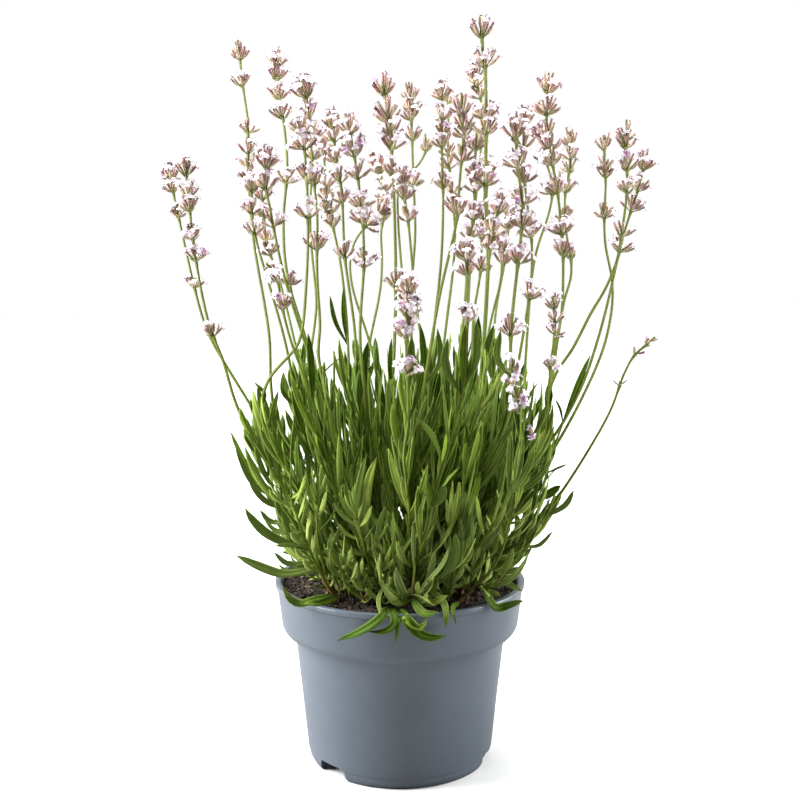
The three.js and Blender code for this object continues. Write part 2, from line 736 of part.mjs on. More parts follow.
shoots.forEach((shoot, index) => {
  const length = shoot.line.getLength();
  const flowering = shoot.whorls.length > 0;
  const first = flowering ? lowLeaf + (index * 7) % 30 : lowLeaf / 2;
  const last = flowering ? first : length - 4;
  for (let pair = 0; pair < shoot.leafPairs; pair += 1) {
    const up = first + (last - first) * pair / Math.max(1, shoot.leafPairs - 1);
    const turn = index * leavesTurn + pair * Math.PI / 2;
    const rise = (lowLeafSpread - highLeafSpread) * pair / shoot.leafPairs;
    const spread = flowering ? flowerLeafSpread : lowLeafSpread - rise;
    addLeaf(shoot, up / length, turn, leafLength, spread);
    addLeaf(shoot, up / length, turn + Math.PI, leafLength, spread);
  }
  addPiece(shoot.name, shoot.body.solid, shoot.material);
});

export default object;
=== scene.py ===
import math
import random
from functools import partial

import bpy
import numpy as np
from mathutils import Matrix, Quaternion, Vector, noise


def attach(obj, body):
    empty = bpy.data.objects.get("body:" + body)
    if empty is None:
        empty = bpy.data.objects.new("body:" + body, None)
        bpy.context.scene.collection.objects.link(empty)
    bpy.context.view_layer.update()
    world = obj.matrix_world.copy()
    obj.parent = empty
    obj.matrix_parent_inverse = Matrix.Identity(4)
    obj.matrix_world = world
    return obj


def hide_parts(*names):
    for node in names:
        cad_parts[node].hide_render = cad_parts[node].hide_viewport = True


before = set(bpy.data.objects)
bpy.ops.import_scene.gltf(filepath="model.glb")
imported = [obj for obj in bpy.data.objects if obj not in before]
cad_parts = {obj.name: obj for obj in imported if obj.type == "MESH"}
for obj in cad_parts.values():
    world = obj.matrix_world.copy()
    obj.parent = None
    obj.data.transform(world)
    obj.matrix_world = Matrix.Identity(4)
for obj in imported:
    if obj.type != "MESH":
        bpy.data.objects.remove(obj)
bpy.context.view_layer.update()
MM = 0.001

# Potted lavender: a flowering clump in a plastic nursery pot. Metres, +Z up, the pot's axis at
# the origin. Every flower stem and leafy shoot follows the line of its own CAD node. The low
# shoots round the foot of the clump are drawn in this script, and stand for the crown.

# ---- sizes, in millimetres unless a line says otherwise ----

# The viewer: where the eye is, how far it looks down, and the lens on its sensor
EYE = (0, -704, 314)
LOOK_DOWN = math.radians(7.8)
LENS = 54
SENSOR = 36

# How bright the white room is behind the viewer and behind the pot
ROOM_FRONT = 0.05
ROOM_BACK = 1.0

# The soft lights, in metres: name, place, height of the spot they face, size, and power
LIGHTS = [
    ("left_light", (-1.3, 0.02, 0.6), 0.15, (0.9, 1.5), 80),
    ("right_light", (1.3, 0.05, 0.55), 0.15, (0.7, 1.4), 36),
    ("top_light", (-0.15, 0.05, 1.6), 0.2, (0.9, 0.9), 28),
]

# The floor's shade as it looks and as it throws light back, and its size in metres
FLOOR_SEEN = (0.95, 0.95, 0.95, 1)
FLOOR_LIT = (0.32, 0.32, 0.32, 1)
FLOOR_SIZE = 8

# The pot's height, its raised floor's upper and under side, and the radius of its flat middle
POT_HEIGHT = 110
FLOOR_TOP = 10.6
FLOOR_UNDER = 9.0
FLOOR_MIDDLE = 40

# The pot's outline, outside and then inside: radius, height, and how far the corner is rounded
POT_OUTSIDE = [
    (53.5, 0, 1.0), (55.3, 3.0, 1.4), (55.4, 6.4, 0.0), (56.0, 6.8, 0.15), (63.5, 79.4, 1.0),
    (69.5, 80.4, 0.5), (71.2, 83.5, 1.4), (73.8, 106.4, 0.4), (75.0, 107.0, 0.5),
    (75.0, POT_HEIGHT, 0.9),
]
POT_INSIDE = [
    (71.6, POT_HEIGHT, 0.9), (70.2, 107.6, 0.4), (69.0, 84.1, 0.6), (61.9, 80.4, 0.6),
    (53.6, FLOOR_TOP, 1.5),
]
POT_UNDERSIDE = [(51.3, 0, 0.4), (51.6, FLOOR_UNDER, 1.0)]
POT_SIDES = 160

# Soil dust inside the rim, in metres: the heights over which it grows and goes again, and the
# radii over which it ends
DUST_GROWS = (0.1005, 0.1040)
DUST_GOES = (0.1045, 0.1085)
DUST_ENDS = (0.0708, 0.0714)

# The water slots: turns in degrees, size, rounding, and how much wider they are at the foot
SLOT_TURNS = (-46.5, 73.5, -166.5)
SLOT_SIZE = (20, 14, 8)
SLOT_ROUNDING = 3
SLOT_FLARE = 1.15

# The drain holes: how many, their radius, and the radius of the ring they lie on
DRAIN_HOLES = 6
DRAIN_RADIUS = 4
DRAIN_RING = 36

# Soil: its outline from the foot up, how far its middle rises, and its loose crumbs, of which
# a share is long
SOIL_FOOT = (51.8, 11.0)
SOIL_SIDE = [(61.3, 80.7), (68.1, 84.5)]
SOIL_EDGE = 69.4
SOIL_TOP = 105.6
SOIL_SIDES = 180
SOIL_RINGS = 56
SOIL_RISE = 1.6
CRUMBS = 3200
CRUMB_SIZES = (1.0, 2.7)
CRUMB = (1.0, 1.0, 0.75)
LONG_CRUMB = (2.6, 0.6, 0.5)
LONG_CRUMBS = 0.12

# How coarse and how high the clods, lumps and grains of the soil are, at a level of the noise
SOIL_LUMPS = [(3, 11, 1.5), (7, 3.6, 1.0), (1, 1.3, 0.55)]

# Bark: the grid it is grown on, its smoothing, and how coarse and deep its lumps and cracks are
BARK_GRID = 0.8
BARK_SMOOTHING = 6
BARK_LUMPS = (6, 0.9)
BARK_CRACKS = (1.9, 0.8)

# Stems: their rods, radius at the foot and how much thinner the top is, and the buried foot
STEM_SIDES = 8
STEM_GROOVE = 0.86
STEM_STEP = 4.0
STEM_RADIUS = 1.15
STEM_TAPER = 0.55
STEM_FOOT = 1.6

# How much wider a stem is at its foot, and how fast that goes; how much wider it is under a
# whorl, how far under it, and along how much of the stem
FOOT_FLARE = (0.9, 3.0)
NODE_BULGE = (0.5, 3.5, 1.6)

# Stems that are thicker than most, and how brown the low ones and all the others are
THICK_STEMS = {"flower_stem_16": 1.15, "flower_stem_26": 1.35, "flower_stem_28": 1.15,
               "flower_stem_33": 1.15, "flower_stem_08": 1.1}
WOODY_STEMS = {"low_shoot_02": 1.0, "low_shoot_04": 1.0, "low_shoot_01": 0.6}
WOODY_SHARES = (1.0, 0.3, 0.6)

# A stem's CAD node is a four-sided sleeve: square rings on the stem, and wide ones at whorls
RING_SPAN = (1.4, 2.8)
WHORL_SPANS = (11.2, 8.96)

SEED = 11
UP = np.array([0, 0, 1.0])


def seen(x, z, depth):
    """The point at this depth that is seen at x, z on the upright plane through the pot's axis."""
    reach = (depth - EYE[1]) / -EYE[1]
    return np.array([x * reach, depth, EYE[2] + (z - EYE[2]) * reach])


def as_seen(points):
    """Where points are seen on the upright plane through the pot's axis, as x, z."""
    reach = (points[..., 1] - EYE[1]) / -EYE[1]
    return np.stack([points[..., 0] / reach, EYE[2] + (points[..., 2] - EYE[2]) / reach], -1)


# ---- nodes ----

WHITE, BLACK = (1, 1, 1, 1), (0, 0, 0, 1)


def colour(text):
    """A scene colour from the usual six-digit screen colour."""
    screen = [int(text[i:i + 2], 16) / 255 for i in (0, 2, 4)]
    return [c / 12.92 if c <= 0.04045 else ((c + 0.055) / 1.055) ** 2.4 for c in screen] + [1]


class Nodes:
    """A tree of nodes that is added to. A value is a number, a socket or a screen colour."""

    def __init__(self, tree):
        self.tree = tree

    def put(self, value, socket):
        if isinstance(value, bpy.types.NodeSocket):
            self.tree.links.new(value, socket)
        else:
            socket.default_value = colour(value) if isinstance(value, str) else value

    def add(self, kind, inputs=None, **settings):
        """A new node's outputs, with its settings made and its inputs filled."""
        made = self.tree.nodes.new("ShaderNode" + kind)
        for key, value in settings.items():
            setattr(made, key, value)
        for socket, value in (inputs or {}).items():
            self.put(value, made.inputs[socket])
        return made.outputs

    def place(self):
        return self.add("TexCoord")["Object"]

    def split(self, vector):
        return self.add("SeparateXYZ", {"Vector": vector})

    def height(self):
        return self.split(self.place())["Z"]

    def length(self, vector):
        return self.add("VectorMath", {0: vector}, operation="LENGTH")["Value"]

    def scaled(self, vector, by):
        return self.add("VectorMath", {0: vector, 1: by}, operation="MULTIPLY")["Vector"]

    def seen_straight(self):
        return self.add("LightPath")["Is Camera Ray"]

    def attribute(self, name):
        return self.add("Attribute", attribute_name=name)["Fac"]

    def ramp(self, factor, stops):
        """A colour ramp with (place, screen colour) stops."""
        made = self.tree.nodes.new("ShaderNodeValToRGB")
        self.put(factor, made.inputs["Fac"])
        elements = made.color_ramp.elements
        while len(elements) < len(stops):
            elements.new(0.5)
        for element, (place, shade) in zip(elements, stops):
            element.position = place
            element.color = colour(shade)
        return made.outputs["Color"]

    def between(self, value, low, high, to_low=0.0, to_high=1.0):
        """The value brought from one range to another, eased and held at its ends."""
        return self.add("MapRange", {
            "Value": value, "From Min": low, "From Max": high,
            "To Min": to_low, "To Max": to_high,
        }, interpolation_type="SMOOTHSTEP")["Result"]

    def calc(self, operation, *values):
        return self.add("Math", dict(enumerate(values)), operation=operation)["Value"]

    def times(self, first, *others):
        for other in others:
            first = self.calc("MULTIPLY", first, other)
        return first

    def band(self, value, rise, fall, most=1.0):
        """Grows to its most over one stretch of the value, and goes again over another."""
        return self.times(self.between(value, *rise, 0.0, most),
                          self.between(value, *fall, 1.0, 0.0))

    def mix(self, factor, under, over, blend="MIX"):
        return self.add("Mix", {0: factor, 6: under, 7: over},
                        data_type="RGBA", blend_type=blend)[2]

    def mottle(self, first, second, scale, contrast):
        return self.add("Group", {"First": first, "Second": second, "Scale": scale,
                                  "Contrast": contrast}, node_tree=MOTTLE)

    def grain(self, scale, stretch=(1, 1, 1)):
        return self.add("Group", {"Scale": scale, "Stretch": stretch}, node_tree=GRAIN)["Height"]


def new_group(name, inputs, outputs):
    """An empty group's nodes, what comes into it, and what it puts out."""
    tree = bpy.data.node_groups.new(name, "ShaderNodeTree")
    for label, kind, value in inputs:
        socket = tree.interface.new_socket(label, in_out="INPUT", socket_type=kind)
        socket.default_value = value
    for label, kind in outputs:
        tree.interface.new_socket(label, in_out="OUTPUT", socket_type=kind)
    given = tree.nodes.new("NodeGroupInput").outputs
    return Nodes(tree), given, tree.nodes.new("NodeGroupOutput").inputs


def mottle_group():
    """Uneven colour: one colour drifts into another in soft patches."""
    nodes, given, out = new_group("uneven colour", [
        ("First", "NodeSocketColor", (0.5, 0.5, 0.5, 1)),
        ("Second", "NodeSocketColor", (0.4, 0.4, 0.4, 1)),
        ("Scale", "NodeSocketFloat", 100.0),
        ("Contrast", "NodeSocketFloat", 0.5),
    ], [("Color", "NodeSocketColor"), ("Mask", "NodeSocketFloat")])
    cloud = nodes.add("TexNoise", {
        "Vector": nodes.place(), "Scale": given["Scale"], "Detail": 4.0})
    half = nodes.times(given["Contrast"], 0.5)
    mask = nodes.between(cloud["Fac"], nodes.calc("SUBTRACT", 0.5, half),
                         nodes.calc("ADD", 0.5, half))
    nodes.put(nodes.mix(mask, given["First"], given["Second"]), out["Color"])
    nodes.put(mask, out["Mask"])
    return nodes.tree


def grain_group():
    """Fine grain for a bump: small soft pits and a finer tooth over them."""
    nodes, given, out = new_group("fine grain", [
        ("Scale", "NodeSocketFloat", 1000.0),
        ("Stretch", "NodeSocketVector", (1, 1, 1)),
    ], [("Height", "NodeSocketFloat")])
    pits = nodes.add("TexNoise", {
        "Vector": nodes.scaled(nodes.place(), given["Stretch"]), "Scale": given["Scale"],
        "Detail": 3.0, "Roughness": 0.6})
    nodes.put(pits["Fac"], out["Height"])
    return nodes.tree


MOTTLE, GRAIN = mottle_group(), grain_group()


# ---- finishes ----

class Finish(Nodes):
    """A new material, with the colour that it has so far."""

    def __init__(self, name):
        self.material = bpy.data.materials.new(name)
        self.material.use_nodes = True
        super().__init__(self.material.node_tree)

    def look(self, values):
        for socket, value in values.items():
            self.put(value, self.tree.nodes["Principled BSDF"].inputs[socket])
        return self.material

    def over(self, factor, shade, blend="MIX"):
        """Lays one more colour over what there is."""
        self.shade = self.mix(factor, self.shade, shade, blend)

    def done(self, rough, height, depth, **more):
        """The material with its colour, its roughness and a bump of this depth in metres."""
        bump = self.add("Bump", {"Height": height, "Distance": depth, "Strength": 1.0})
        return self.look({"Base Color": self.shade, "Roughness": rough, "Normal": bump["Normal"],
                          **{label.replace("_", " "): value for label, value in more.items()}})


def floor_finish():
    """White to the eye, greyer to the light, so that the pot's front stays dark."""
    floor = Finish("pale floor")
    straight = floor.seen_straight()
    far = floor.between(floor.length(floor.place()), 0.3, 1.6, 0.0, 0.48)
    return floor.look({
        "Base Color": floor.mix(straight, FLOOR_LIT, FLOOR_SEEN), "Roughness": 0.9,
        "Emission Color": WHITE, "Emission Strength": floor.times(far, straight)})


def pot_finish():
    """Satin blue-grey plastic, with soil dust inside the rim."""
    pot = Finish("blue-grey pot plastic")
    plain = pot.mottle("545d68", "4f5862", 30.0, 0.5)
    dust = pot.mottle(BLACK, WHITE, 900.0, 0.25)
    out = pot.length(pot.scaled(pot.place(), (1, 1, 0)))
    dirt = pot.times(pot.band(pot.height(), DUST_GROWS, DUST_GOES),
                     pot.between(out, *DUST_ENDS, 1.0, 0.0), dust["Mask"])
    pot.shade = plain["Color"]
    pot.over(dirt, "40342c")
    rough = pot.between(plain["Mask"], 0.0, 1.0, 0.34, 0.40)
    return pot.done(rough, pot.grain(2200.0), 0.00004, Specular_IOR_Level=0.7)


def soil_finish():
    """Dark peat, black-brown with some paler crumbs."""
    peat = Finish("peat")
    tone = peat.attribute("tone")
    peat.shade = peat.mottle("17120f", "47382f", 420.0, 0.3)["Color"]
    peat.over(peat.between(tone, 0.7, 0.95), "786257")
    peat.over(peat.between(tone, 0.0, 0.4, 0.6, 0.0), "120e0c")
    return peat.done(0.85, peat.grain(1500.0), 0.0006)


def bark_finish():
    """Brown bark with grey-green patches."""
    bark = Finish("bark")
    moss = bark.mottle(BLACK, WHITE, 90.0, 0.2)["Mask"]
    bark.shade = bark.mottle("6f5140", "4a3529", 260.0, 0.4)["Color"]
    bark.over(bark.times(moss, 0.35), "7b7a55")
    return bark.done(0.85, bark.grain(700.0), 0.0008)


def stem_finish():
    """Green stems, reddish wood at the foot, with pale ridges."""
    stem = Finish("green stem")
    height = stem.height()
    woody = stem.times(stem.between(height, 0.110, 0.132, 0.95, 0.0), stem.attribute("woody"))
    stem.shade = stem.mottle("5d6e1c", "4b5912", 140.0, 0.5)["Color"]
    stem.over(woody, stem.mottle("8b6550", "664434", 350.0, 0.5)["Color"])
    stem.over(stem.between(height, 0.23, 0.34, 0.0, 0.55), "5b5e24")
    stem.over(stem.times(stem.attribute("ridge"), 0.35), "85933c")
    return stem.done(0.55, stem.grain(1400.0, (1, 1, 0.2)), 0.00012,
                     Specular_IOR_Level=0.15)


def leaf_finish():
    """Green leaf: pale margins and midrib, greyer beneath, each leaf with its own tone, and
    painted light that makes the low leaves paler.
    """
    leaf = Finish("leaf green")
    tone = leaf.attribute("tone")
    uv = leaf.split(leaf.add("UVMap", uv_map="UVMap")["UV"])
    patch = leaf.mottle((0.80, 0.80, 0.80, 1), (1.12, 1.12, 1.1, 1), 160.0, 0.6)
    leaf.shade = leaf.ramp(tone, [(0.0, "284402"), (0.35, "476604"), (0.7, "718d1b"),
                                  (1.0, "a4b255")])
    leaf.over(1.0, patch["Color"], "MULTIPLY")
    leaf.over(leaf.between(uv["Y"], 0.0, 0.35, 0.28, 0.0), "8fa632")
    leaf.over(leaf.band(tone, (0.44, 0.48), (0.60, 0.64), 0.45), "70824a")
    # Painted light: leaves low in the clump, where the leaves above shade them, are made paler by
    # their height.
    leaf.over(leaf.band(leaf.height(), (0.106, 0.120), (0.13, 0.19), 0.28), "b2bd7a")
    leaf.over(leaf.times(leaf.attribute("under"), 0.4), "74883c")
    across = leaf.calc("ABSOLUTE", leaf.calc("SUBTRACT", uv["X"], 0.5))
    midrib = leaf.between(across, 0.03, 0.10, 0.42, 0.0)
    line = leaf.calc("MAXIMUM", leaf.between(across, 0.36, 0.48, 0.0, 0.42), midrib)
    line = leaf.times(line, leaf.calc("SUBTRACT", 1.0, leaf.attribute("plain")))
    leaf.over(leaf.calc("SUBTRACT", 0.3, line), "254304")
    leaf.over(line, "afbd66")
    rough = leaf.between(patch["Mask"], 0.0, 1.0, 0.42, 0.58)
    ribbed = leaf.calc("ADD", leaf.grain(1800.0), leaf.times(midrib, -1.2))
    return leaf.done(rough, ribbed, 0.00015, Specular_IOR_Level=0.06)


def cup_finish():
    """Flower cups: olive at the foot, mauve-brown above, darker at the mouth, ribbed, with painted
    highlights on the ribs, painted shade between them and some cups darkened as painted shade.
    """
    cup = Finish("flower cup")
    tone, along = cup.attribute("tone"), cup.attribute("along")
    # The cup's own mauve-brown, kept dark so that the grooves between the ribs read as shaded:
    # painted shade.
    mauve_and_groove_shade = cup.ramp(along, [(0.0, "7d8634"), (0.3, "917f3f"), (0.62, "976457"),
                             (1.0, "7d4a5b")])
    olive = cup.ramp(along, [(0.0, "7d8640"), (0.4, "948c58"), (1.0, "8a6c58")])
    cup.shade = cup.mix(cup.between(tone, 0.55, 0.85), mauve_and_groove_shade, olive)
    cup.over(cup.band(tone, (0.40, 0.46), (0.60, 0.66), 0.6), "cbb897")
    # Painted highlight: the ribs, and the bracts a little, are made pale as if light caught them.
    cup.over(cup.times(cup.attribute("ridge"), 0.56), "edd8d0")
    # Painted shade: some cups, picked at random by their tone, are darkened to stand for the shade
    # deep inside the whorls.
    cup.over(cup.between(tone, 0.0, 0.25, 0.55, 0.0), "5e3d38")
    patch = cup.mottle((0.8, 0.8, 0.8, 1), (1.15, 1.15, 1.15, 1), 700.0, 0.5)
    cup.over(1.0, patch["Color"], "MULTIPLY")
    return cup.done(0.75, cup.grain(3500.0), 0.0001, Sheen_Weight=0.12,
                    Sheen_Roughness=0.5, Specular_IOR_Level=0.2)


def petal_finish():
    """Petals: nearly white with a breath of lilac, and a purple throat or bud."""
    petal = Finish("pale lilac petal")
    along = petal.attribute("along")
    pale = petal.ramp(along, [(0.0, "cfb1c2"), (0.35, "e7d5df"), (0.75, "f2e8ed"),
                              (1.0, "f9f3f6")])
    deep = petal.ramp(along, [(0.0, "7e5060"), (0.45, "a8788f"), (0.6, "c7a6c2"),
                              (1.0, "decbe0")])
    petal.shade = petal.mix(petal.between(petal.attribute("tone"), 0.72, 0.88), pale, deep)
    return petal.done(0.6, petal.grain(2600.0), 0.00008)


FINISHES = {"pot": pot_finish(), "soil": soil_finish(), "bark": bark_finish(),
            "stem": stem_finish(), "leaf": leaf_finish(), "cup": cup_finish(),
            "petal": petal_finish()}


# ---- camera, light and floor ----

def make_camera():
    bpy.ops.object.camera_add(location=[c * MM for c in EYE],
                              rotation=(math.pi / 2 - LOOK_DOWN, 0, 0))
    camera = bpy.context.object
    camera.data.lens = LENS
    camera.data.sensor_width = SENSOR
    bpy.context.scene.camera = camera


def make_studio():
    """A room that is white to the viewer, three soft lights and the floor."""
    world = bpy.data.worlds.new("studio")
    world.use_nodes = True
    nodes = Nodes(world.node_tree)
    back = nodes.split(nodes.add("TexCoord")["Generated"])["Y"]
    bright = nodes.calc("MAXIMUM", nodes.between(back, -0.5, 0.6, ROOM_FRONT, ROOM_BACK),
                        nodes.seen_straight())
    background = nodes.tree.nodes["Background"].inputs
    nodes.put(bright, background["Strength"])
    nodes.put(WHITE, background["Color"])
    bpy.context.scene.world = world
    bpy.context.scene.view_settings.view_transform = "Standard"
    for name, place, target, size, power in LIGHTS:
        bpy.ops.object.light_add(type="AREA", location=place)
        light = bpy.context.object
        light.name = name
        way = Vector((0, 0, target)) - Vector(place)
        light.rotation_euler = way.to_track_quat("-Z", "Y").to_euler()
        light.data.shape = "RECTANGLE"
        light.data.size, light.data.size_y = size
        light.data.energy = power
    bpy.ops.mesh.primitive_plane_add(size=FLOOR_SIZE)
    floor = bpy.context.object
    floor.name = "floor"
    floor.data.materials.append(floor_finish())


# ---- modelling helpers ----

def edit():
    bpy.ops.object.mode_set(mode="EDIT")


def leave_edit():
    bpy.ops.object.mode_set(mode="OBJECT")


def select_all():
    bpy.ops.mesh.select_all(action="SELECT")


def deselect():
    if bpy.context.object and bpy.context.object.mode == "EDIT":
        leave_edit()
    bpy.ops.object.select_all(action="DESELECT")


def take(piece):
    """Makes this piece the only one that is selected, and the active one."""
    deselect()
    piece.select_set(True)
    bpy.context.view_layer.objects.active = piece


def select_corners(piece, wanted):
    """In edit mode, selects the corners for which wanted(place) is true."""
    bpy.ops.mesh.select_all(action="DESELECT")
    leave_edit()
    for corner in piece.data.vertices:
        corner.select = bool(wanted(corner.co))
    edit()
    bpy.ops.mesh.select_mode(type="VERT")


def place_kept(piece):
    """Puts a finished piece's place, turn and size into its mesh."""
    take(piece)
    bpy.ops.object.transform_apply(location=True, rotation=True, scale=True)


def widen(x, y=1):
    bpy.ops.transform.resize(value=(x, y, 1), center_override=(0, 0, 0))


def close_up():
    """Joins corners that meet, turns all faces outward and leaves edit mode."""
    select_all()
    bpy.ops.mesh.remove_doubles(threshold=1e-6)
    bpy.ops.mesh.normals_make_consistent(inside=False)
    leave_edit()


def modify(piece, kind, **settings):
    """Gives the active piece a modifier and applies it."""
    made = piece.modifiers.new("shaping", kind)
    for key, value in settings.items():
        setattr(made, key, value)
    bpy.ops.object.modifier_apply(modifier=made.name)


def write_values(piece, label, values, domain="POINT"):
    made = piece.data.attributes.new(label, "FLOAT", domain)
    made.data.foreach_set("value", values)


def smooth_below(piece, degrees):
    take(piece)
    bpy.ops.object.shade_smooth_by_angle(angle=math.radians(degrees))


def finish_piece(piece, name, finish, slot, *nodes):
    piece.name = name
    piece.data.name = name
    piece.data.materials.clear()
    piece.data.materials.append(FINISHES[finish])
    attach(piece, "root")
    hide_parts(*nodes)


def rounded(corners):
    """An outline with its corners rounded: (radius, height, rounding) to (radius, height)."""
    outline = []
    for i, (r, z, rounding) in enumerate(corners):
        here = Vector((r, z))
        if rounding == 0 or i in (0, len(corners) - 1):
            outline.append((r, z))
            continue
        before = Vector(corners[i - 1][:2]) - here
        after = Vector(corners[i + 1][:2]) - here
        cut = min(rounding, before.length * 0.45, after.length * 0.45)
        a = here + before.normalized() * cut
        b = here + after.normalized() * cut
        for share in (0, 0.25, 0.5, 0.75, 1):
            outline.append(tuple(a.lerp(here, share).lerp(here.lerp(b, share), share)))
    return outline


class Turning:
    """A ring of edges that is drawn out, ring by ring, into a turned shape."""

    def __init__(self, radius, height, sides, size=MM, filled=False):
        deselect()
        bpy.ops.mesh.primitive_circle_add(
            vertices=sides, radius=radius * size, location=(0, 0, height * size),
            fill_type="NGON" if filled else "NOTHING")
        self.object, self.size = bpy.context.object, size
        self.start = self.at = (radius, height)
        place_kept(self.object)
        edit()
        select_all()

    def draw_to(self, *rings):
        for radius, height in rings:
            rise = (height - self.at[1]) * self.size
            bpy.ops.mesh.extrude_edges_move(TRANSFORM_OT_translate={"value": (0, 0, rise)})
            wider = radius / self.at[0]
            widen(wider, wider)
            self.at = (radius, height)

    def back_to_start(self):
        radius, height = (s * self.size for s in self.start)
        select_corners(self.object, lambda c: abs(c.z - height) < 1e-6
                       and abs(c.xy.length - radius) < 1e-6)
        self.at = self.start

    def close_middle(self, height):
        """Closes the drawn-in ring to a point on the axis."""
        self.draw_to((1, height))
        bpy.ops.mesh.merge(type="CENTER")

    def close_flat(self):
        bpy.ops.mesh.edge_face_add()

    def done(self):
        close_up()
        return self.object


# ---- pot ----

def around(turn, out, height):
    """A place at a turn from the front, in metres."""
    return math.sin(turn) * out * MM, -math.cos(turn) * out * MM, height * MM


def slot_cutter(turn):
    """A block with rounded shoulders and a flared foot, across the foot ring."""
    width, depth, height = SLOT_SIZE
    deselect()
    bpy.ops.mesh.primitive_cube_add(size=1, location=(0, 0, 0))
    cutter = bpy.context.object
    cutter.scale = (width * MM, depth * MM, (height + 2) * MM)
    place_kept(cutter)
    edit()
    top = height / 2 * MM
    select_corners(cutter, lambda c: c.z < -top)
    widen(SLOT_FLARE)
    for side in (-1, 1):
        select_corners(cutter, lambda c: c.z > top and c.x * side > width * 0.3 * MM)
        bpy.ops.mesh.bevel(offset=SLOT_ROUNDING * MM, segments=6, affect="EDGES")
    leave_edit()
    cutter.location = around(turn, POT_OUTSIDE[0][0], height / 2 - 1)
    cutter.rotation_euler = (0, 0, turn)
    place_kept(cutter)
    return cutter


def hole_cutter(turn):
    deselect()
    bpy.ops.mesh.primitive_cylinder_add(
        vertices=32, radius=DRAIN_RADIUS * MM, depth=10 * MM,
        location=around(turn, DRAIN_RING, FLOOR_UNDER))
    place_kept(bpy.context.object)
    return bpy.context.object


def make_pot():
    turning = Turning(*POT_OUTSIDE[0][:2], POT_SIDES)
    turning.draw_to(*rounded([(*POT_UNDERSIDE[0][:2], 0), *POT_OUTSIDE, *POT_INSIDE,
                              (FLOOR_MIDDLE, FLOOR_TOP, 0)])[2:])
    turning.close_middle(FLOOR_TOP)
    turning.back_to_start()
    turning.draw_to(*rounded([POT_OUTSIDE[0], *POT_UNDERSIDE,
                              (FLOOR_MIDDLE, FLOOR_UNDER, 0)])[1:])
    turning.close_middle(FLOOR_UNDER)
    pot = turning.done()
    cutters = [slot_cutter(math.radians(turn)) for turn in SLOT_TURNS]
    cutters += [hole_cutter((k + 0.5) * 2 * math.pi / DRAIN_HOLES) for k in range(DRAIN_HOLES)]
    for cutter in cutters:
        take(pot)
        modify(pot, "BOOLEAN", operation="DIFFERENCE", solver="EXACT", object=cutter)
        bpy.data.objects.remove(cutter)
    smooth_below(pot, 28)
    finish_piece(pot, "nursery_pot", "pot", "pot_plastic", "pot")


# ---- soil ----

def soil_height(x, y):
    """The soil's surface at a place: a low middle rise, clods and grains."""
    out = min(1.0, math.hypot(x, y) / SOIL_EDGE)
    surface = SOIL_TOP + SOIL_RISE * (1 - out * out)
    for level, coarse, high in SOIL_LUMPS:
        surface += noise.noise(Vector((x, y, level)) / coarse) * high
    return surface


def make_soil():
    turning = Turning(*SOIL_FOOT, SOIL_SIDES)
    turning.draw_to(*SOIL_SIDE, (SOIL_EDGE, SOIL_TOP - 1))
    turning.draw_to(*[(SOIL_EDGE * (1 - (k + 1) / (SOIL_RINGS + 1)), SOIL_TOP)
                      for k in range(SOIL_RINGS)])
    turning.close_middle(SOIL_TOP)
    turning.back_to_start()
    turning.close_flat()
    soil = turning.done()
    for corner in soil.data.vertices:
        if corner.co.z > (SOIL_TOP - 1.5) * MM:
            corner.co.z = soil_height(corner.co.x / MM, corner.co.y / MM) * MM
    draw = random.Random(SEED)
    write_values(soil, "tone", [draw.random() * 0.8 for _ in soil.data.vertices])
    smooth_below(soil, 50)
    finish_piece(soil, "soil_body", "soil", "soil", "soil")


# What a copied model carries for each face and not for each corner
FACE_VALUES = ("under", "plain")


class Heap:
    """Copies of small model shapes, gathered into one mesh."""

    def __init__(self):
        self.corners, self.faces, self.uvs, self.values = [], [], [], {}
        self.count = 0

    def add(self, model, corners, **values):
        """A copy of a model with its corners here, and values that its colours follow."""
        self.faces += [tuple(i + self.count for i in face) for face in model["faces"]]
        self.corners.append(corners)
        self.count += len(corners)
        if model["uvs"] is not None:
            self.uvs.append(model["uvs"])
        for label, value in {**values, **model["values"]}.items():
            many = len(model["faces"] if label in FACE_VALUES else corners)
            self.values.setdefault(label, []).append(np.broadcast_to(value, many))

    def build(self, name, smooth=True):
        mesh = bpy.data.meshes.new(name)
        mesh.from_pydata((np.concatenate(self.corners) * MM).tolist(), [], self.faces)
        if self.uvs:
            layer = mesh.uv_layers.new(name="UVMap")
            layer.data.foreach_set("uv", np.concatenate(self.uvs).ravel())
        mesh.polygons.foreach_set("use_smooth", [smooth] * len(mesh.polygons))
        mesh.update()
        piece = bpy.data.objects.new(name, mesh)
        for label, parts in self.values.items():
            write_values(piece, label, np.concatenate(parts).astype(np.float32),
                         "FACE" if label in FACE_VALUES else "POINT")
        bpy.context.scene.collection.objects.link(piece)
        return piece


def model_of(shape, mapped=False):
    """A modelled shape as numbers that copies are made from; the object itself goes."""
    mesh = shape.data
    uvs = None
    if mapped:
        uvs = np.empty(len(mesh.loops) * 2, np.float32)
        mesh.uv_layers[0].data.foreach_get("uv", uvs)
        uvs = uvs.reshape(-1, 2)
    model = {"corners": np.array([v.co[:] for v in mesh.vertices]),
             "faces": [tuple(p.vertices) for p in mesh.polygons], "uvs": uvs, "values": {}}
    bpy.data.objects.remove(shape)
    return model


def crumb_model():
    """An angular crumb of peat, about 1 across."""
    deselect()
    bpy.ops.mesh.primitive_ico_sphere_add(subdivisions=1, radius=0.5, location=(0, 0, 0))
    edit()
    select_all()
    bpy.ops.transform.vertex_random(offset=0.16, seed=SEED)
    leave_edit()
    return model_of(bpy.context.object)


def turned(draw):
    """A random turn in space, as a matrix of rows."""
    turn = Quaternion([draw.gauss(0, 1) for _ in range(4)]).normalized()
    return np.array(turn.to_matrix())


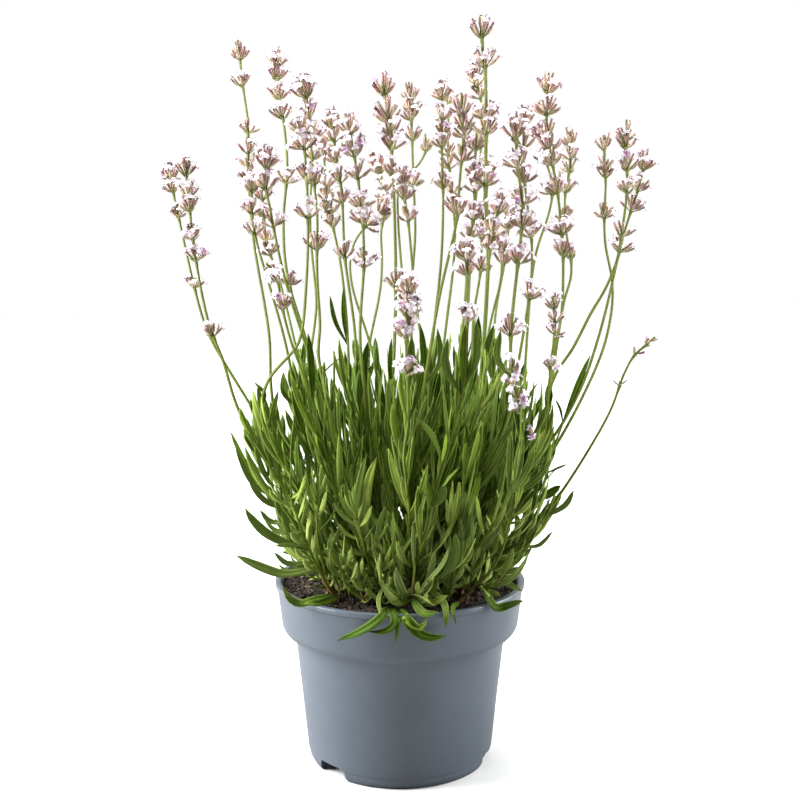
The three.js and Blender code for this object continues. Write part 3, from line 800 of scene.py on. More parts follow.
def make_crumbs():
    """Loose crumbs and short fibres that lie on the soil."""
    draw = random.Random(SEED + 1)
    model, heap = crumb_model(), Heap()
    for _ in range(CRUMBS):
        out = (SOIL_EDGE - 1.2) * math.sqrt(draw.random())
        turn = draw.random() * 2 * math.pi
        x, y = out * math.cos(turn), out * math.sin(turn)
        least, most = CRUMB_SIZES
        size = least + (most - least) * draw.random() ** 1.6
        shape = LONG_CRUMB if draw.random() < LONG_CRUMBS else CRUMB
        corners = (model["corners"] * size * shape) @ turned(draw).T
        corners += [x, y, soil_height(x, y) + size * 0.15]
        heap.add(model, corners, tone=draw.random())
    finish_piece(heap.build("soil_crumbs", smooth=False), "soil_crumbs", "soil", "soil", "soil")


# ---- woody crown ----

def make_crown():
    """The plant's woody foot: the CAD limbs grown together and roughened like bark."""
    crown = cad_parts["woody_crown"].copy()
    crown.data = crown.data.copy()
    for key in list(crown.keys()):
        del crown[key]
    crown.parent = None
    bpy.context.scene.collection.objects.link(crown)
    crown.hide_render = crown.hide_viewport = False
    take(crown)
    edit()
    select_all()
    bpy.ops.mesh.remove_doubles(threshold=1e-6)
    leave_edit()
    modify(crown, "REMESH", mode="VOXEL", voxel_size=BARK_GRID * MM)
    modify(crown, "SMOOTH", factor=0.5, iterations=BARK_SMOOTHING)
    normals = [v.normal.copy() for v in crown.data.vertices]
    for corner, normal in zip(crown.data.vertices, normals):
        lumps, cracks = (noise.noise(corner.co / MM / coarse) * deep
                         for coarse, deep in (BARK_LUMPS, BARK_CRACKS))
        corner.co += normal * (lumps - abs(cracks)) * MM
    bpy.ops.object.shade_smooth()
    finish_piece(crown, "crown_wood", "bark", "bark", "woody_crown")


# ---- the lines of the shoots, from their CAD nodes ----

def corners_of(node):
    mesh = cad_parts[node].data
    flat = np.empty(len(mesh.vertices) * 3)
    mesh.vertices.foreach_get("co", flat)
    return np.unique(np.round(flat.reshape(-1, 3) / MM, 3), axis=0)


def apart(points, least):
    kept = []
    for point in points:
        if all(np.linalg.norm(point - other) > least for other in kept):
            kept.append(point)
    return np.array(kept).reshape(-1, 3)


def chain(points):
    """The points in order from the lowest, each next one the nearest that is left."""
    order = [int(points[:, 2].argmin())]
    left = set(range(len(points))) - set(order)
    while left:
        last = points[order[-1]]
        order.append(min(left, key=lambda i: np.linalg.norm(points[i] - last)))
        left.remove(order[-1])
    return points[order]


def ring_centres(node):
    """The middles of a node's square rings, from the foot up, and of its whorls."""
    corners = corners_of(node)
    i, j = np.triu_indices(len(corners), 1)
    way = corners[i] - corners[j]
    span = np.linalg.norm(way, axis=1)
    middle = (corners[i] + corners[j]) / 2
    slim = (span > RING_SPAN[0]) & (span < RING_SPAN[1])
    m, w, s = middle[slim], way[slim], span[slim]
    same = np.abs(m[:, None] - m[None]).max(2) < 0.01
    same &= np.abs(s[:, None] - s[None]) < 0.01
    same &= np.abs(w @ w.T) < 0.02 * s[:, None] * s[None]
    rings = chain(apart(m[same.any(1)], 0.2))
    wide = (np.abs(span[:, None] - np.array(WHORL_SPANS)) < 0.01).any(1)
    below, along = rings[:-1], np.diff(rings, axis=0)
    whorls = []
    for point, across, size in zip(middle[wide], way[wide], span[wide]):
        share = ((point - below) * along).sum(1) / (along * along).sum(1)
        gap = np.linalg.norm(below + along * np.clip(share, 0, 1)[:, None] - point, axis=1)
        k = int(gap.argmin())
        slant = abs(across @ along[k]) / (size * np.linalg.norm(along[k]))
        if gap[k] < 0.6 and slant < 0.2:
            whorls.append(point)
    return rings, apart(whorls, 1.5)


def reached(line):
    """How far along a line each of its points is."""
    return np.concatenate([[0], np.cumsum(np.linalg.norm(np.diff(line, axis=0), axis=1))])


def along_line(far, marks, values):
    """The values that a line has so far along, when these are the values at its marks."""
    return np.stack([np.interp(far, marks, values[:, k]) for k in range(3)], -1)


def smooth_line(knots, step):
    """An even-stepped curve through the knots."""
    ends = [2 * knots[0] - knots[1], *knots, 2 * knots[-1] - knots[-2]]
    line = []
    for p in zip(ends, ends[1:], ends[2:], ends[3:]):
        t = np.cumsum([0] + [max(1e-3, np.linalg.norm(b - a)) ** 0.5 for a, b in zip(p, p[1:])])
        for u in np.linspace(t[1], t[2], 12, endpoint=False):
            a1, a2, a3 = (p[k] + (p[k + 1] - p[k]) * (u - t[k]) / (t[k + 1] - t[k])
                          for k in range(3))
            b1 = a1 + (a2 - a1) * (u - t[0]) / (t[2] - t[0])
            b2 = a2 + (a3 - a2) * (u - t[1]) / (t[3] - t[1])
            line.append(b1 + (b2 - b1) * (u - t[1]) / (t[2] - t[1]))
    line = np.array([*line, knots[-1]])
    far = reached(line)
    even = np.linspace(0, far[-1], max(4, round(far[-1] / step)) + 1)
    return along_line(even, far, line)


def seen_line(points, step):
    """An even-stepped curve, as x, 0, z, through points that are given as x, z."""
    return smooth_line(np.array([[x, 0.0, z] for x, z in points]), step)


def unit(v):
    """A way, or each of many, made 1 long."""
    return v / (np.linalg.norm(v) if v.ndim == 1 else np.linalg.norm(v, axis=1)[:, None])


class Shoot:
    """The line of one shoot, with what is needed to set leaves and flowers on it."""

    def __init__(self, name, node, index, line, whorls, thick):
        self.name, self.node, self.index, self.line = name, node, index, line
        self.thick = thick
        self.flowering = name.startswith("flower")
        self.far = reached(line)
        self.length = self.far[-1]
        self.whorls = sorted(self.far[np.linalg.norm(line - w, axis=1).argmin()] for w in whorls)
        self.known = []

    def at(self, far):
        return along_line(far, self.far, self.line)

    def along(self, far):
        if 1.5 < far < self.length - 1.5:
            return unit(self.at(far + 1.5) - self.at(far - 1.5))
        return unit(self.at(min(self.length, far + 3)) - self.at(max(0, far - 3)))

    def radius(self, far):
        return (STEM_RADIUS - STEM_TAPER * (far / self.length)) * self.thick


def shoot_from(index, name):
    knots, whorls = ring_centres(name)
    return Shoot(name, name, index, smooth_line(knots, STEM_STEP), whorls,
                 THICK_STEMS.get(name, 1.0))


# Low side shoots in front, as seen from the top down to the soil: their way, thickness,
# the depth of the top, and how many millimetres up them the leaves begin
LOW_SHOOTS = [
    ([(-27, 150), (-23, 135), (-18.5, 118), (-15, 108), (-10.5, 95.5)], 0.95, -56, 14),
    ([(-66, 160), (-58.6, 137), (-53, 122), (-47.5, 111), (-41.7, 100.5), (-33.6, 94)],
     1.0, -50, 16),
    ([(-49, 160), (-49.7, 136), (-47.3, 122), (-43.3, 107.5), (-40, 98)], 0.8, -50, 5),
    ([(68, 152), (61, 125), (53, 111), (45, 104), (33.7, 91)], 0.9, -42, 8),
    ([(-3, 125), (-4, 110), (-6, 91)], 0.7, -52, 2),
    ([(-12, 114), (-14, 104), (-16, 93)], 0.6, -54, 1),
    ([(-36, 116), (-30, 104), (-27, 94)], 0.6, -48, 1),
    ([(-24, 112), (-24, 102), (-20, 91)], 0.6, -52, 1),
    ([(-40, 112), (-37, 103), (-36, 95)], 0.6, -44, 1),
    ([(-30, 108), (-33, 101), (-31, 95)], 0.5, -48, 1),
    ([(-17, 104), (-21, 98), (-25, 92)], 0.5, -54, 1),
    ([(0, 112), (-1, 101), (-1, 89)], 0.6, -54, 1),
    ([(-10, 103), (-9, 97), (-12, 90)], 0.5, -56, 1),
    ([(16, 122), (20, 106), (16, 90)], 0.7, -50, 2),
    ([(36, 116), (30, 102), (26, 90)], 0.6, -50, 1),
    ([(44, 116), (42, 104), (40, 94)], 0.6, -45, 1),
]


def low_shoot(number, way, thick, depth, _):
    """A side shoot whose foot stands in the soil and whose top comes towards the viewer."""
    down = (EYE[2] - SOIL_TOP + 1.5) / (EYE[2] - way[-1][1])
    foot = down * -EYE[1] + EYE[1]
    flat = seen_line(way[::-1], STEM_STEP)
    depths = foot + (depth - foot) * np.linspace(0, 1, len(flat))
    return Shoot(f"low_shoot_{number:02d}", "woody_crown", 100 + number,
                 seen(flat[:, 0], flat[:, 2], depths).T, [], thick)


SHOOTS = [shoot_from(*row) for row in enumerate(
    sorted(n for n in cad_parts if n.startswith(("flower_stem", "leafy_shoot"))))]
LOW = [low_shoot(k, *row) for k, row in enumerate(LOW_SHOOTS, 1)]


def make_rod(name, points, radii):
    """A rod with square ridges along the points; ridge marks its high lines."""
    path, section = (bpy.data.curves.new(label, "CURVE") for label in (name, "section"))
    path.dimensions, section.dimensions = "3D", "2D"
    spline = path.splines.new("POLY")
    spline.points.add(len(points) - 1)
    for point, place, radius in zip(spline.points, points, radii):
        point.co = (*(place * MM), 1)
        point.radius = radius
    ring = section.splines.new("POLY")
    ring.points.add(STEM_SIDES - 1)
    for k, point in enumerate(ring.points):
        angle = 2 * math.pi * k / STEM_SIDES
        reach = MM * (1.0 if k % 2 == 0 else STEM_GROOVE)
        point.co = (math.cos(angle) * reach, math.sin(angle) * reach, 0, 1)
    ring.use_cyclic_u = True
    rod, outline = (bpy.data.objects.new(c.name, c) for c in (path, section))
    for curve in (rod, outline):
        bpy.context.scene.collection.objects.link(curve)
    path.bevel_mode = "OBJECT"
    path.bevel_object = outline
    path.use_fill_caps = True
    take(rod)
    bpy.ops.object.convert(target="MESH")
    rod = bpy.context.object
    bpy.data.objects.remove(outline)
    edit()
    close_up()
    ridges = []
    for corner in rod.data.vertices:
        gap = np.linalg.norm(points - np.array(corner.co) / MM, axis=1)
        ridges.append(1.0 if gap.min() > radii[gap.argmin()] * 0.93 else 0.0)
    write_values(rod, "ridge", ridges)
    smooth_below(rod, 60)
    return rod


def make_stem(shoot):
    """The stem itself: a square-ridged rod along the line, wider at its foot and nodes."""
    name = shoot.name + "_stem"
    points = np.vstack([shoot.line[0] - [0, 0, STEM_FOOT], shoot.line])
    far = np.concatenate([[0], shoot.far])
    (wider, fade), (thicker, under, over) = FOOT_FLARE, NODE_BULGE
    flare = 1 + wider * np.exp(-np.concatenate([[0], shoot.far + STEM_FOOT]) / fade)
    bulge = 1 + sum(thicker * np.exp(-((far - w + under) / over) ** 2) for w in shoot.whorls)
    stem = make_rod(name, points, shoot.radius(far) * flare * bulge)
    share = WOODY_STEMS.get(shoot.name, WOODY_SHARES[shoot.index % 3])
    write_values(stem, "woody", [share] * len(stem.data.vertices))
    finish_piece(stem, name, "stem", "flower_stem" if shoot.flowering else "foliage", shoot.node)


# ---- leaves ----

# Half widths along a leaf, as shares: narrow foot, long even middle, blunt tip
LEAF_OUTLINE = [0.28, 0.48, 0.74, 0.92, 1.0, 0.93, 0.66, 0.06]
LEAF_FOLD = 0.28
LEAF_THICKNESS = 0.16

# How upright and how short a leaf is grown, try after try, until it fits
LEAF_TRIES = [(0, 1), (0.3, 0.9), (0.6, 0.75), (0.8, 0.55), (0.9, 0.38)]

# The droop of a leaf that bends up and not down
RISING = -1

# How high leaves go up a flower stem, and up what share of its length at most
LEAFY_HEIGHTS = (208, 256)
LEAFY_SHARE = 0.85

# How many leaves stand round a shoot's foot and how far up, and how many in the tuft on top
FOOT_LEAVES = 20
FOOT_REACH = (0.5, 20)
TUFT_LEAVES = 7
LOW_TUFT_LEAVES = 5

# Where no leaf goes: from inside the pot's wall to beside it, in the soil, and nearer than this
RIM_CLEAR = (66.5, 78)
RIM_CLEAR_TOP = 112.5
SOIL_CLEAR = 107.4
NEAREST_LEAF = -130

# The share of leaves that hide no stem in front, how far they keep from it, and how deep and
# how high those stems are
SHOWN_STEMS = 0.55
STEM_MARGIN = 1.4
FRONT_DEPTH = -12
FRONT_TOP = 255

# Stems that stay in sight among the leaves: from this seen height up
CLEAR_STEMS = {"flower_stem_28": 104, "flower_stem_21": 150, "low_shoot_01": 96,
               "low_shoot_02": 96, "low_shoot_03": 112, "low_shoot_04": 96}

# Where the clump's leaves end, as seen in front: x, z round its outline from the left foot up
CLUMP = [(-62, 88), (-74, 112), (-84, 122), (-94, 140), (-99, 160), (-102, 200), (-90, 226),
         (-74, 232), (-66, 248), (-54, 257), (-44, 260), (-33, 264), (-20, 254), (0, 260),
         (13, 264), (30, 264), (46, 268), (56, 257), (66, 248), (78, 240), (85, 236), (90, 226),
         (93, 206), (97, 170), (99, 150), (92, 137), (86, 124), (80, 113), (66, 88), (30, 84),
         (-30, 84)]
CLUMP_FOOT = 88

# The share of the clump's size by which a leaf may have to end further in
CLUMP_EDGE = 0.16

# Known leaves: how much a stem's depth counts when the nearest one is looked for, and how far
# they may come forward for each millimetre of their way
DEPTH_COST = 0.10
STEEPEST = 1.2

# Leaves that are given one by one, as seen in front, from the stem to the tip: their way (x, z),
# width, tone from dark to pale, and how far the tip comes towards the viewer
KNOWN_LEAVES = [
    # over and above the rim on the left
    ([(-58, 111), (-70, 111.5), (-82, 115), (-99, 123)], 5.6, 0.45, 6),
    ([(-40, 101), (-50, 96), (-60, 93), (-66, 95), (-71, 103)], 4.8, 0.4, 30),
    ([(-38, 95), (-48, 94), (-58, 93)], 4.6, 0.7, 14),
    ([(-52, 126), (-72, 132), (-82, 138), (-90, 147), (-93, 152)], 5.6, 0.45, 4),
    ([(-60, 113), (-68, 118), (-76, 125)], 3.4, 0.6, 8),
    ([(-71, 140), (-78, 144), (-84, 151)], 3.6, 0.5, 0),
    ([(-66, 135), (-74, 138), (-81, 144)], 3.2, 0.6, 0),
    ([(-66, 127), (-75, 129)], 2.8, 0.65, 5),
    ([(-80, 160), (-90, 176), (-101, 199)], 3.2, 0.8, 0),
    ([(-74, 155), (-87, 166), (-98, 188)], 3.4, 0.6, 5),
    ([(-70, 150), (-80, 156), (-90, 167)], 3.6, 0.6, 5),
    ([(-74, 212), (-80, 221), (-86, 228)], 2.2, 0.4, 0),
    ([(-74, 198), (-75, 212), (-72, 223)], 2.8, 0.4, 0),
    ([(-65, 212), (-69, 222), (-69, 234)], 2.8, 0.3, 0),
    # round the top
    ([(-34, 250), (-38, 264), (-41, 279)], 2.8, 0.4, 0),
    ([(-34, 250), (-33, 266), (-33, 284)], 2.8, 0.4, 0),
    ([(-48, 215), (-52, 235), (-54, 257)], 4.2, 0.2, 0),
    ([(-20, 222), (-21, 238), (-19, 252)], 4.4, 0.15, 0),
    ([(12, 222), (14, 244), (12, 262)], 4.2, 0.3, 0),
    ([(44, 226), (45, 246), (46, 267)], 4.4, 0.35, 0),
    ([(24, 226), (23.5, 240), (22, 260)], 3.6, 0.55, 2),
    ([(44, 222), (44.5, 240), (45, 264)], 4.8, 0.6, 4),
    ([(57, 226), (57.5, 242), (59, 259)], 4.2, 0.6, 2),
    ([(45, 224), (50, 244), (55, 262)], 4.6, 0.5, 6),
    ([(37, 222), (37, 242), (38.5, 263)], 4.4, 0.65, 4),
    ([(26, 222), (26.5, 238), (28, 254)], 4.4, 0.55, 4),
    ([(6, 222), (6, 238), (7, 255)], 4.8, 0.5, 2),
    ([(-6, 222), (-6, 238), (-5, 254)], 2.8, 0.3, 2),
    ([(98, 205), (104, 224), (112, 244)], 3.2, 0.45, 0),
    ([(98, 205), (103, 220), (110, 237)], 3.2, 0.3, 0),
    # right
    ([(88, 147), (99, 154), (104, 163)], 3.6, 0.5, 0),
    ([(80, 157), (88, 160), (96, 166)], 5.4, 0.3, 0),
    ([(72, 124), (83, 129), (92, 138)], 2.6, 0.5, 0),
    ([(95, 205), (95, 212), (92, 218)], 1.6, 0.3, 0),
    ([(87, 171), (93, 176), (100, 179)], 1.6, 0.5, 0),
    ([(61, 110), (68, 104), (74, 101)], 3.2, 0.5, 15),
    ([(58, 113), (66, 113), (73, 116)], 3.2, 0.6, 8),
    # over the rim in front
    ([(50, 93), (58, 90.5), (66, 92), (75, 95)], 4.8, 0.3, 20),
    ([(34, 96), (32, 91), (34, 80)], 2.8, 0.25, 25),
    ([(-4, 90), (-14, 82), (-26, 74.5), (-38, 70)], 5.6, 0.15, 34),
    ([(-4, 90), (-3, 83), (-6, 77), (-12, 75), (-19, 75.5)], 4.8, 0.15, 22),
    ([(0, 80), (-2, 73), (-3, 67)], 3.2, 0.25, 10),
    ([(-10, 104), (-13, 96), (-12, 86)], 2.6, 0.6, 22),
    ([(4, 80), (12, 74), (20, 71.5), (28, 73)], 6.2, 0.1, 16),
    ([(7, 86), (8, 80), (11, 77.5), (14.5, 79.5), (16, 84)], 5.0, 0.85, 14),
    ([(20, 100), (27, 92), (28, 78)], 4.0, 0.6, 20),
    # the low rosette in front
    ([(7, 88), (2, 96), (0, 106)], 3.6, 0.65, 6),
    ([(7, 88), (10, 97), (11, 107)], 3.4, 0.8, 8),
    ([(10, 91), (13, 94), (17, 98.5)], 4.2, 0.9, 10),
    ([(8, 91), (18, 93), (29, 98)], 4.2, 0.75, 10),
    ([(7, 88), (15, 86.5), (23, 88)], 4.8, 0.35, 12),
    ([(9, 97), (16, 106), (26, 118), (30, 129)], 2.8, 0.55, 12),
    # middle
    ([(-18, 111), (-30, 117), (-41, 125), (-42, 136)], 4.6, 0.55, 12),
    ([(-22, 122), (-30, 126), (-37, 133)], 3.6, 0.8, 8),
    ([(-14, 104), (-21, 105), (-30, 107)], 3.4, 0.5, 10),
    ([(-9, 98), (-8, 102), (-7, 107)], 3.6, 0.85, 8),
    ([(28, 90), (29, 104), (32, 121)], 6.0, 0.35, 6),
    ([(22, 100), (28, 112), (30, 134)], 3.6, 0.6, 8),
    ([(14, 88), (20, 104), (27, 113)], 3.2, 0.7, 6),
    ([(-20, 128), (-21, 150), (-19, 168), (-14, 183)], 5.8, 0.85, 14),
    ([(-22, 130), (-26, 150), (-24, 168), (-20, 185)], 4.4, 0.6, 10),
    ([(19, 152), (17, 162), (12, 171)], 6.2, 0.75, 4),
    ([(19, 152), (24, 158), (27, 166)], 5.4, 0.5, 4),
    ([(36, 140), (36, 151), (39, 162)], 6.0, 0.5, 6),
    ([(22, 108), (31, 118), (34, 131)], 4.4, 0.55, 10),
    ([(30, 112), (34, 124), (33, 137)], 4.8, 0.45, 12),
]


def leaf_model(columns, rows, groove):
    """A leaf as numbers: x from -1 to 1 across, y from 0 to 1 along, folded up from its midrib.

    With a groove the two halves arch, and the margins roll under."""
    deselect()
    bpy.ops.mesh.primitive_grid_add(
        x_subdivisions=columns, y_subdivisions=rows, size=2, location=(0, 0, 0))
    leaf = bpy.context.object
    edit()
    places = np.linspace(0, 1, len(LEAF_OUTLINE))
    for row in range(rows + 1):
        level = -1 + 2 * row / rows
        select_corners(leaf, lambda c: abs(c.y - level) < 1e-3)
        widen(float(np.interp(row / rows, places, LEAF_OUTLINE)))
    leave_edit()
    for corner in leaf.data.vertices:
        corner.co.y = (corner.co.y + 1) / 2
        out = abs(corner.co.x)
        corner.co.z = LEAF_FOLD * (math.sin(out * 2.3) * 0.8 if groove else out ** 1.3)
    modify(leaf, "SOLIDIFY", thickness=LEAF_THICKNESS, offset=-1)
    model = model_of(leaf, mapped=True)
    top = columns * rows
    model["values"] = {
        "under": np.array([1.0 if top <= k < 2 * top else 0.0
                           for k in range(len(model["faces"]))]),
        "plain": 0.68 if groove else 0.25}
    return model


LEAF = leaf_model(2, 7, False)
FINE_LEAF = leaf_model(4, 13, True)


def bent_line(start, first, last, length, steps=16):
    """A leaf's midline that leaves along the first way and ends along the last."""
    share = np.linspace(0, 1, steps)[:, None]
    way = unit(first * (1 - share) + last * share)
    inner = (way[1:] + way[:-1]) / 2 * length / (steps - 1)
    return np.vstack([start, start + np.cumsum(inner, axis=0)])


def leaf_on(model, midline, width, face, twist=0.0):
    """The leaf's corners, laid along a midline with its upper side towards face."""
    corners = model["corners"]
    far = reached(midline)
    share = np.clip(corners[:, 1], 0, 1)
    centre = along_line(share * far[-1], far, midline)
    along = unit(along_line(share * far[-1], far, np.gradient(midline, far, axis=0)))
    up = unit(face - along * (along @ face)[:, None])
    side = np.cross(along, up)
    turn = (twist * share)[:, None]
    side, up = side * np.cos(turn) + up * np.sin(turn), up * np.cos(turn) - side * np.sin(turn)
    half = width / 2
    return centre + side * corners[:, 0:1] * half + up * corners[:, 2:3] * half


def in_the_way(points):
    """True for points that would be in the pot's wall, in the soil, or beside the pot."""
    out = np.hypot(points[:, 0], points[:, 1])
    rim = (out > RIM_CLEAR[0]) & (out < RIM_CLEAR[1]) & (points[:, 2] < RIM_CLEAR_TOP)
    return rim | (out <= RIM_CLEAR[0]) & (points[:, 2] < SOIL_CLEAR)


def in_clump(points, share):
    """True for points seen within the clump's outline, drawn in to this share of its size."""
    x, z = as_seen(points).T
    x, z = x / share, CLUMP_FOOT + (z - CLUMP_FOOT) / share
    inside = np.zeros(len(points), bool)
    for (x0, z0), (x1, z1) in zip(CLUMP, CLUMP[1:] + CLUMP[:1]):
        if z0 != z1:
            inside ^= ((z0 > z) != (z1 > z)) & (x < x0 + (z - z0) * (x1 - x0) / (z1 - z0))
    return inside


def looked_at(lines):
    """Where the points of lines are seen, and how deep they lie."""
    points = np.vstack(lines)
    return as_seen(points), points[:, 1]


# The stems that stay in sight, and the others that stand in front among the leaves
CLEAR = looked_at([shoot.line[as_seen(shoot.line)[:, 1] > CLEAR_STEMS[shoot.name]]
                   for shoot in SHOOTS + LOW if shoot.name in CLEAR_STEMS])
FRONT = looked_at([shoot.line[(shoot.line[:, 1] < FRONT_DEPTH) & (shoot.line[:, 2] < FRONT_TOP)]
                   for shoot in SHOOTS if shoot.name not in CLEAR_STEMS])


def hides(stems, midline, width):
    """True for a leaf that would cross in front of one of the stems."""
    flat, depths = stems
    gap = np.linalg.norm(as_seen(midline[5:])[:, None] - flat[None], axis=2)
    return ((gap < STEM_MARGIN + width / 2) & (midline[5:, None, 1] < depths[None])).any()


def grow_leaf(heap, shoot, draw, far, turn, length, width, lean, droop, tone):
    """A leaf on the shoot, leaning out by an angle; a droop bends its tip out and down, and
    RISING bends it up.

    It stays shorter or more upright where it would leave the clump or meet the pot."""
    along = shoot.along(far)
    side = np.array([math.cos(turn), math.sin(turn), 0.0])
    out = unit(side - along * (side @ along))
    start = shoot.at(far) + out * shoot.radius(far) * 0.5
    within = 1 - CLUMP_EDGE * draw.random() ** 1.5
    shows = draw.random() < SHOWN_STEMS
    for lifted, shorter in LEAF_TRIES:
        angle = lean * (1 - lifted)
        first = along * math.cos(angle) + out * math.sin(angle)
        last = unit(first + UP * (1.5 + lifted) - out * 0.15) if droop == RISING \
            else unit(first + (out - UP * 0.8) * droop * (1 - lifted))
        midline = bent_line(start, first, last, length * shorter)
        if not in_the_way(midline[3:]).any() and in_clump(midline[8:], within).all() \
                and not hides(CLEAR, midline, width) \
                and not (shows and hides(FRONT, midline, width)):
            roll = np.cross(along, out) * draw.uniform(-0.9, 0.9)
            face = unit(along - out * 0.35 + roll)
            heap.add(LEAF, leaf_on(LEAF, midline, width, face, draw.uniform(-1, 1)), tone=tone)
            return


def nearest_on_shoots(place):
    """The shoot, and the spot on it, seen nearest to a place; those in front come first."""
    best = None
    for shoot in SHOOTS + LOW:
        cost = np.linalg.norm(as_seen(shoot.line) - np.array(place), axis=1) \
            + DEPTH_COST * shoot.line[:, 1]
        k = int(cost.argmin())
        if best is None or cost[k] < best[0]:
            best = (cost[k], shoot, shoot.line[k])
    return best[1:]


def known_leaf(points, forward):
    """The shoot that a known leaf grows on, with its midline."""
    shoot, start = nearest_on_shoots(points[0])
    way = seen_line([as_seen(start), *points[1:]], 2.0)
    far = reached(way)
    depths = []
    for (x, _, z), reach in zip(way, far):
        depth = start[1] - forward * reach / far[-1]
        while in_the_way(seen(x, z, depth)[None])[0] and depth > NEAREST_LEAF:
            depth -= 1
        depths.append(depth)
    slope = np.abs(far[:, None] - far[None]) * STEEPEST
    depths = (np.array(depths)[None] + slope).min(1)
    depths[0] = start[1]
    for _ in range(4):
        depths[1:-1] = (depths[:-2] + depths[2:] + 2 * depths[1:-1]) / 4
    return shoot, seen(way[:, 0], way[:, 2], depths).T


def give_known_leaves():
    draw = random.Random(SEED + 5)
    for points, width, tone, forward in KNOWN_LEAVES:
        shoot, midline = known_leaf(points, forward)
        face = unit(np.array([draw.uniform(-0.3, 0.3), -0.8, 0.65]))
        shoot.known.append((midline, width, face, draw.uniform(-0.3, 0.3), tone))


def finish_leaves(shoot, heap):
    """Adds the shoot's known leaves and makes its piece."""
    for *how, tone in shoot.known:
        heap.add(FINE_LEAF, leaf_on(FINE_LEAF, *how), tone=tone)
    name = shoot.name + "_leaves"
    finish_piece(heap.build(name), name, "leaf", "foliage", shoot.node)


def dress_shoot(shoot):
    """All of a shoot's leaves: opposite pairs, each turned a quarter from the last, with small
    leaves in their axils, and thick low growth round the foot."""
    draw = random.Random(SEED * 100 + shoot.index)
    heap = Heap()
    grow = partial(grow_leaf, heap, shoot, draw)
    top = shoot.length - 2
    if shoot.flowering:
        high = draw.uniform(*LEAFY_HEIGHTS)
        reach = [f for f, p in zip(shoot.far, shoot.line) if p[2] < high]
        top = min(reach[-1] if reach else top, shoot.length * LEAFY_SHARE)
    foot = shoot.line[0]
    for k in range(FOOT_LEAVES):
        far = draw.uniform(*FOOT_REACH)
        way = math.atan2(foot[1], foot[0]) + draw.gauss(0, 1.1) if k % 2 \
            else draw.uniform(0, 2 * math.pi)
        # Painted light: these leaves round the foot get pale tones, 0.55 to 1, in place of light
        # that the clump above keeps from them.
        grow(far, way, length=draw.uniform(12, 30), width=draw.uniform(2.2, 4.0),
             lean=math.radians(draw.uniform(35, 100)),
             droop=draw.choice((RISING, RISING, 0.25)), tone=draw.uniform(0.55, 1))
    far = draw.uniform(5, 10)
    turn = draw.uniform(0, 2 * math.pi)
    while far < top:
        share = far / top
        size = (20 + 20 * math.sin(math.pi * (share * 0.62 + 0.16))) * draw.uniform(0.75, 1.2)
        width = draw.uniform(2.9, 4.9)
        lean = math.radians(42 - 24 * share) * draw.uniform(0.6, 1.4)
        bright = draw.uniform(0.05, 0.75)
        for half in (0, 1):
            droop = draw.uniform(0.1, 0.7) if draw.random() < 0.05 else RISING
            way = turn + half * math.pi + draw.uniform(-0.25, 0.25)
            tone = min(1, max(0, bright + draw.uniform(-0.2, 0.25)))
            grow(far, way, size * draw.uniform(0.85, 1.1), width, lean, droop, tone)
            for _ in range(draw.choice((0, 0, 1, 1)) if share < 0.9 else 0):
                grow(far + 1, way + draw.uniform(-0.9, 0.9),
                     length=size * draw.uniform(0.3, 0.6), width=width * draw.uniform(0.5, 0.7),
                     lean=lean * draw.uniform(0.5, 1.1), droop=RISING, tone=min(1, tone + 0.25))
        turn += math.pi / 2 + draw.uniform(-0.25, 0.25)
        far += (6.6 + 1.4 * share) * draw.uniform(0.8, 1.25)
    for k in range(0 if shoot.flowering else TUFT_LEAVES):
        grow(shoot.length - 1.5, turn + k * 2.1, length=draw.uniform(12, 30),
             width=draw.uniform(2.4, 3.8), lean=math.radians(5 + 4 * k), droop=RISING,
             tone=draw.uniform(0.5, 1.0))
    finish_leaves(shoot, heap)


def dress_low_shoot(shoot, bare):
    """Small opposite leaves up a low side shoot, and a tuft at its top."""
    draw = random.Random(SEED * 10 + shoot.index)
    heap = Heap()
    grow = partial(grow_leaf, heap, shoot, draw)
    far, turn = bare, draw.uniform(0, 3)
    # Painted light: the low shoots' leaves and tufts get pale tones, from 0.5 up, in place of
    # light that the clump above keeps from them.
    while far < shoot.length - 1:
        size = draw.uniform(9, 16) + 9 * min(1, far / 40)
        for half in (0, 1):
            grow(far, turn + half * math.pi + draw.uniform(-0.3, 0.3), length=size,
                 width=draw.uniform(2.1, 3.4), lean=math.radians(draw.uniform(32, 78)),
                 droop=RISING, tone=draw.uniform(0.55, 1))
        turn += math.pi / 2 + draw.uniform(-0.3, 0.3)
        far += draw.uniform(3.4, 5.8)
    for k in range(LOW_TUFT_LEAVES):
        grow(shoot.length - 1, turn + k * 1.3, length=draw.uniform(12, 22),
             width=draw.uniform(1.8, 2.6), lean=math.radians(8 + 6 * k), droop=RISING,
             tone=draw.uniform(0.5, 1))
    finish_leaves(shoot, heap)


# ---- flowers ----

CUP_SIDES = 8
CUP_LENGTH = 4.66
CUP_RADIUS = 0.85

# A whorl: how far under its middle it begins, how many cups it has, and how many more on top
WHORL_DROP = 3.6
CUP_COUNT = (8, 11)
MORE_ON_TOP = 3

# Its cups in three layers from below: how far they lean and stand out, and the turn to the
# next cup as a share of a whole one
CUP_LEANS = (66, 47, 26)
CUP_REACHES = (1.9, 1.5, 0.9)
CUP_TURN = 0.382

# How wide a flower opens, the share of the other cups with a bud, and a bract's length and width
OPEN_WIDTHS = (2.2, 3.2)
BUD_SHARE = 0.45
BRACT_SIZE = (5.2, 2.2)

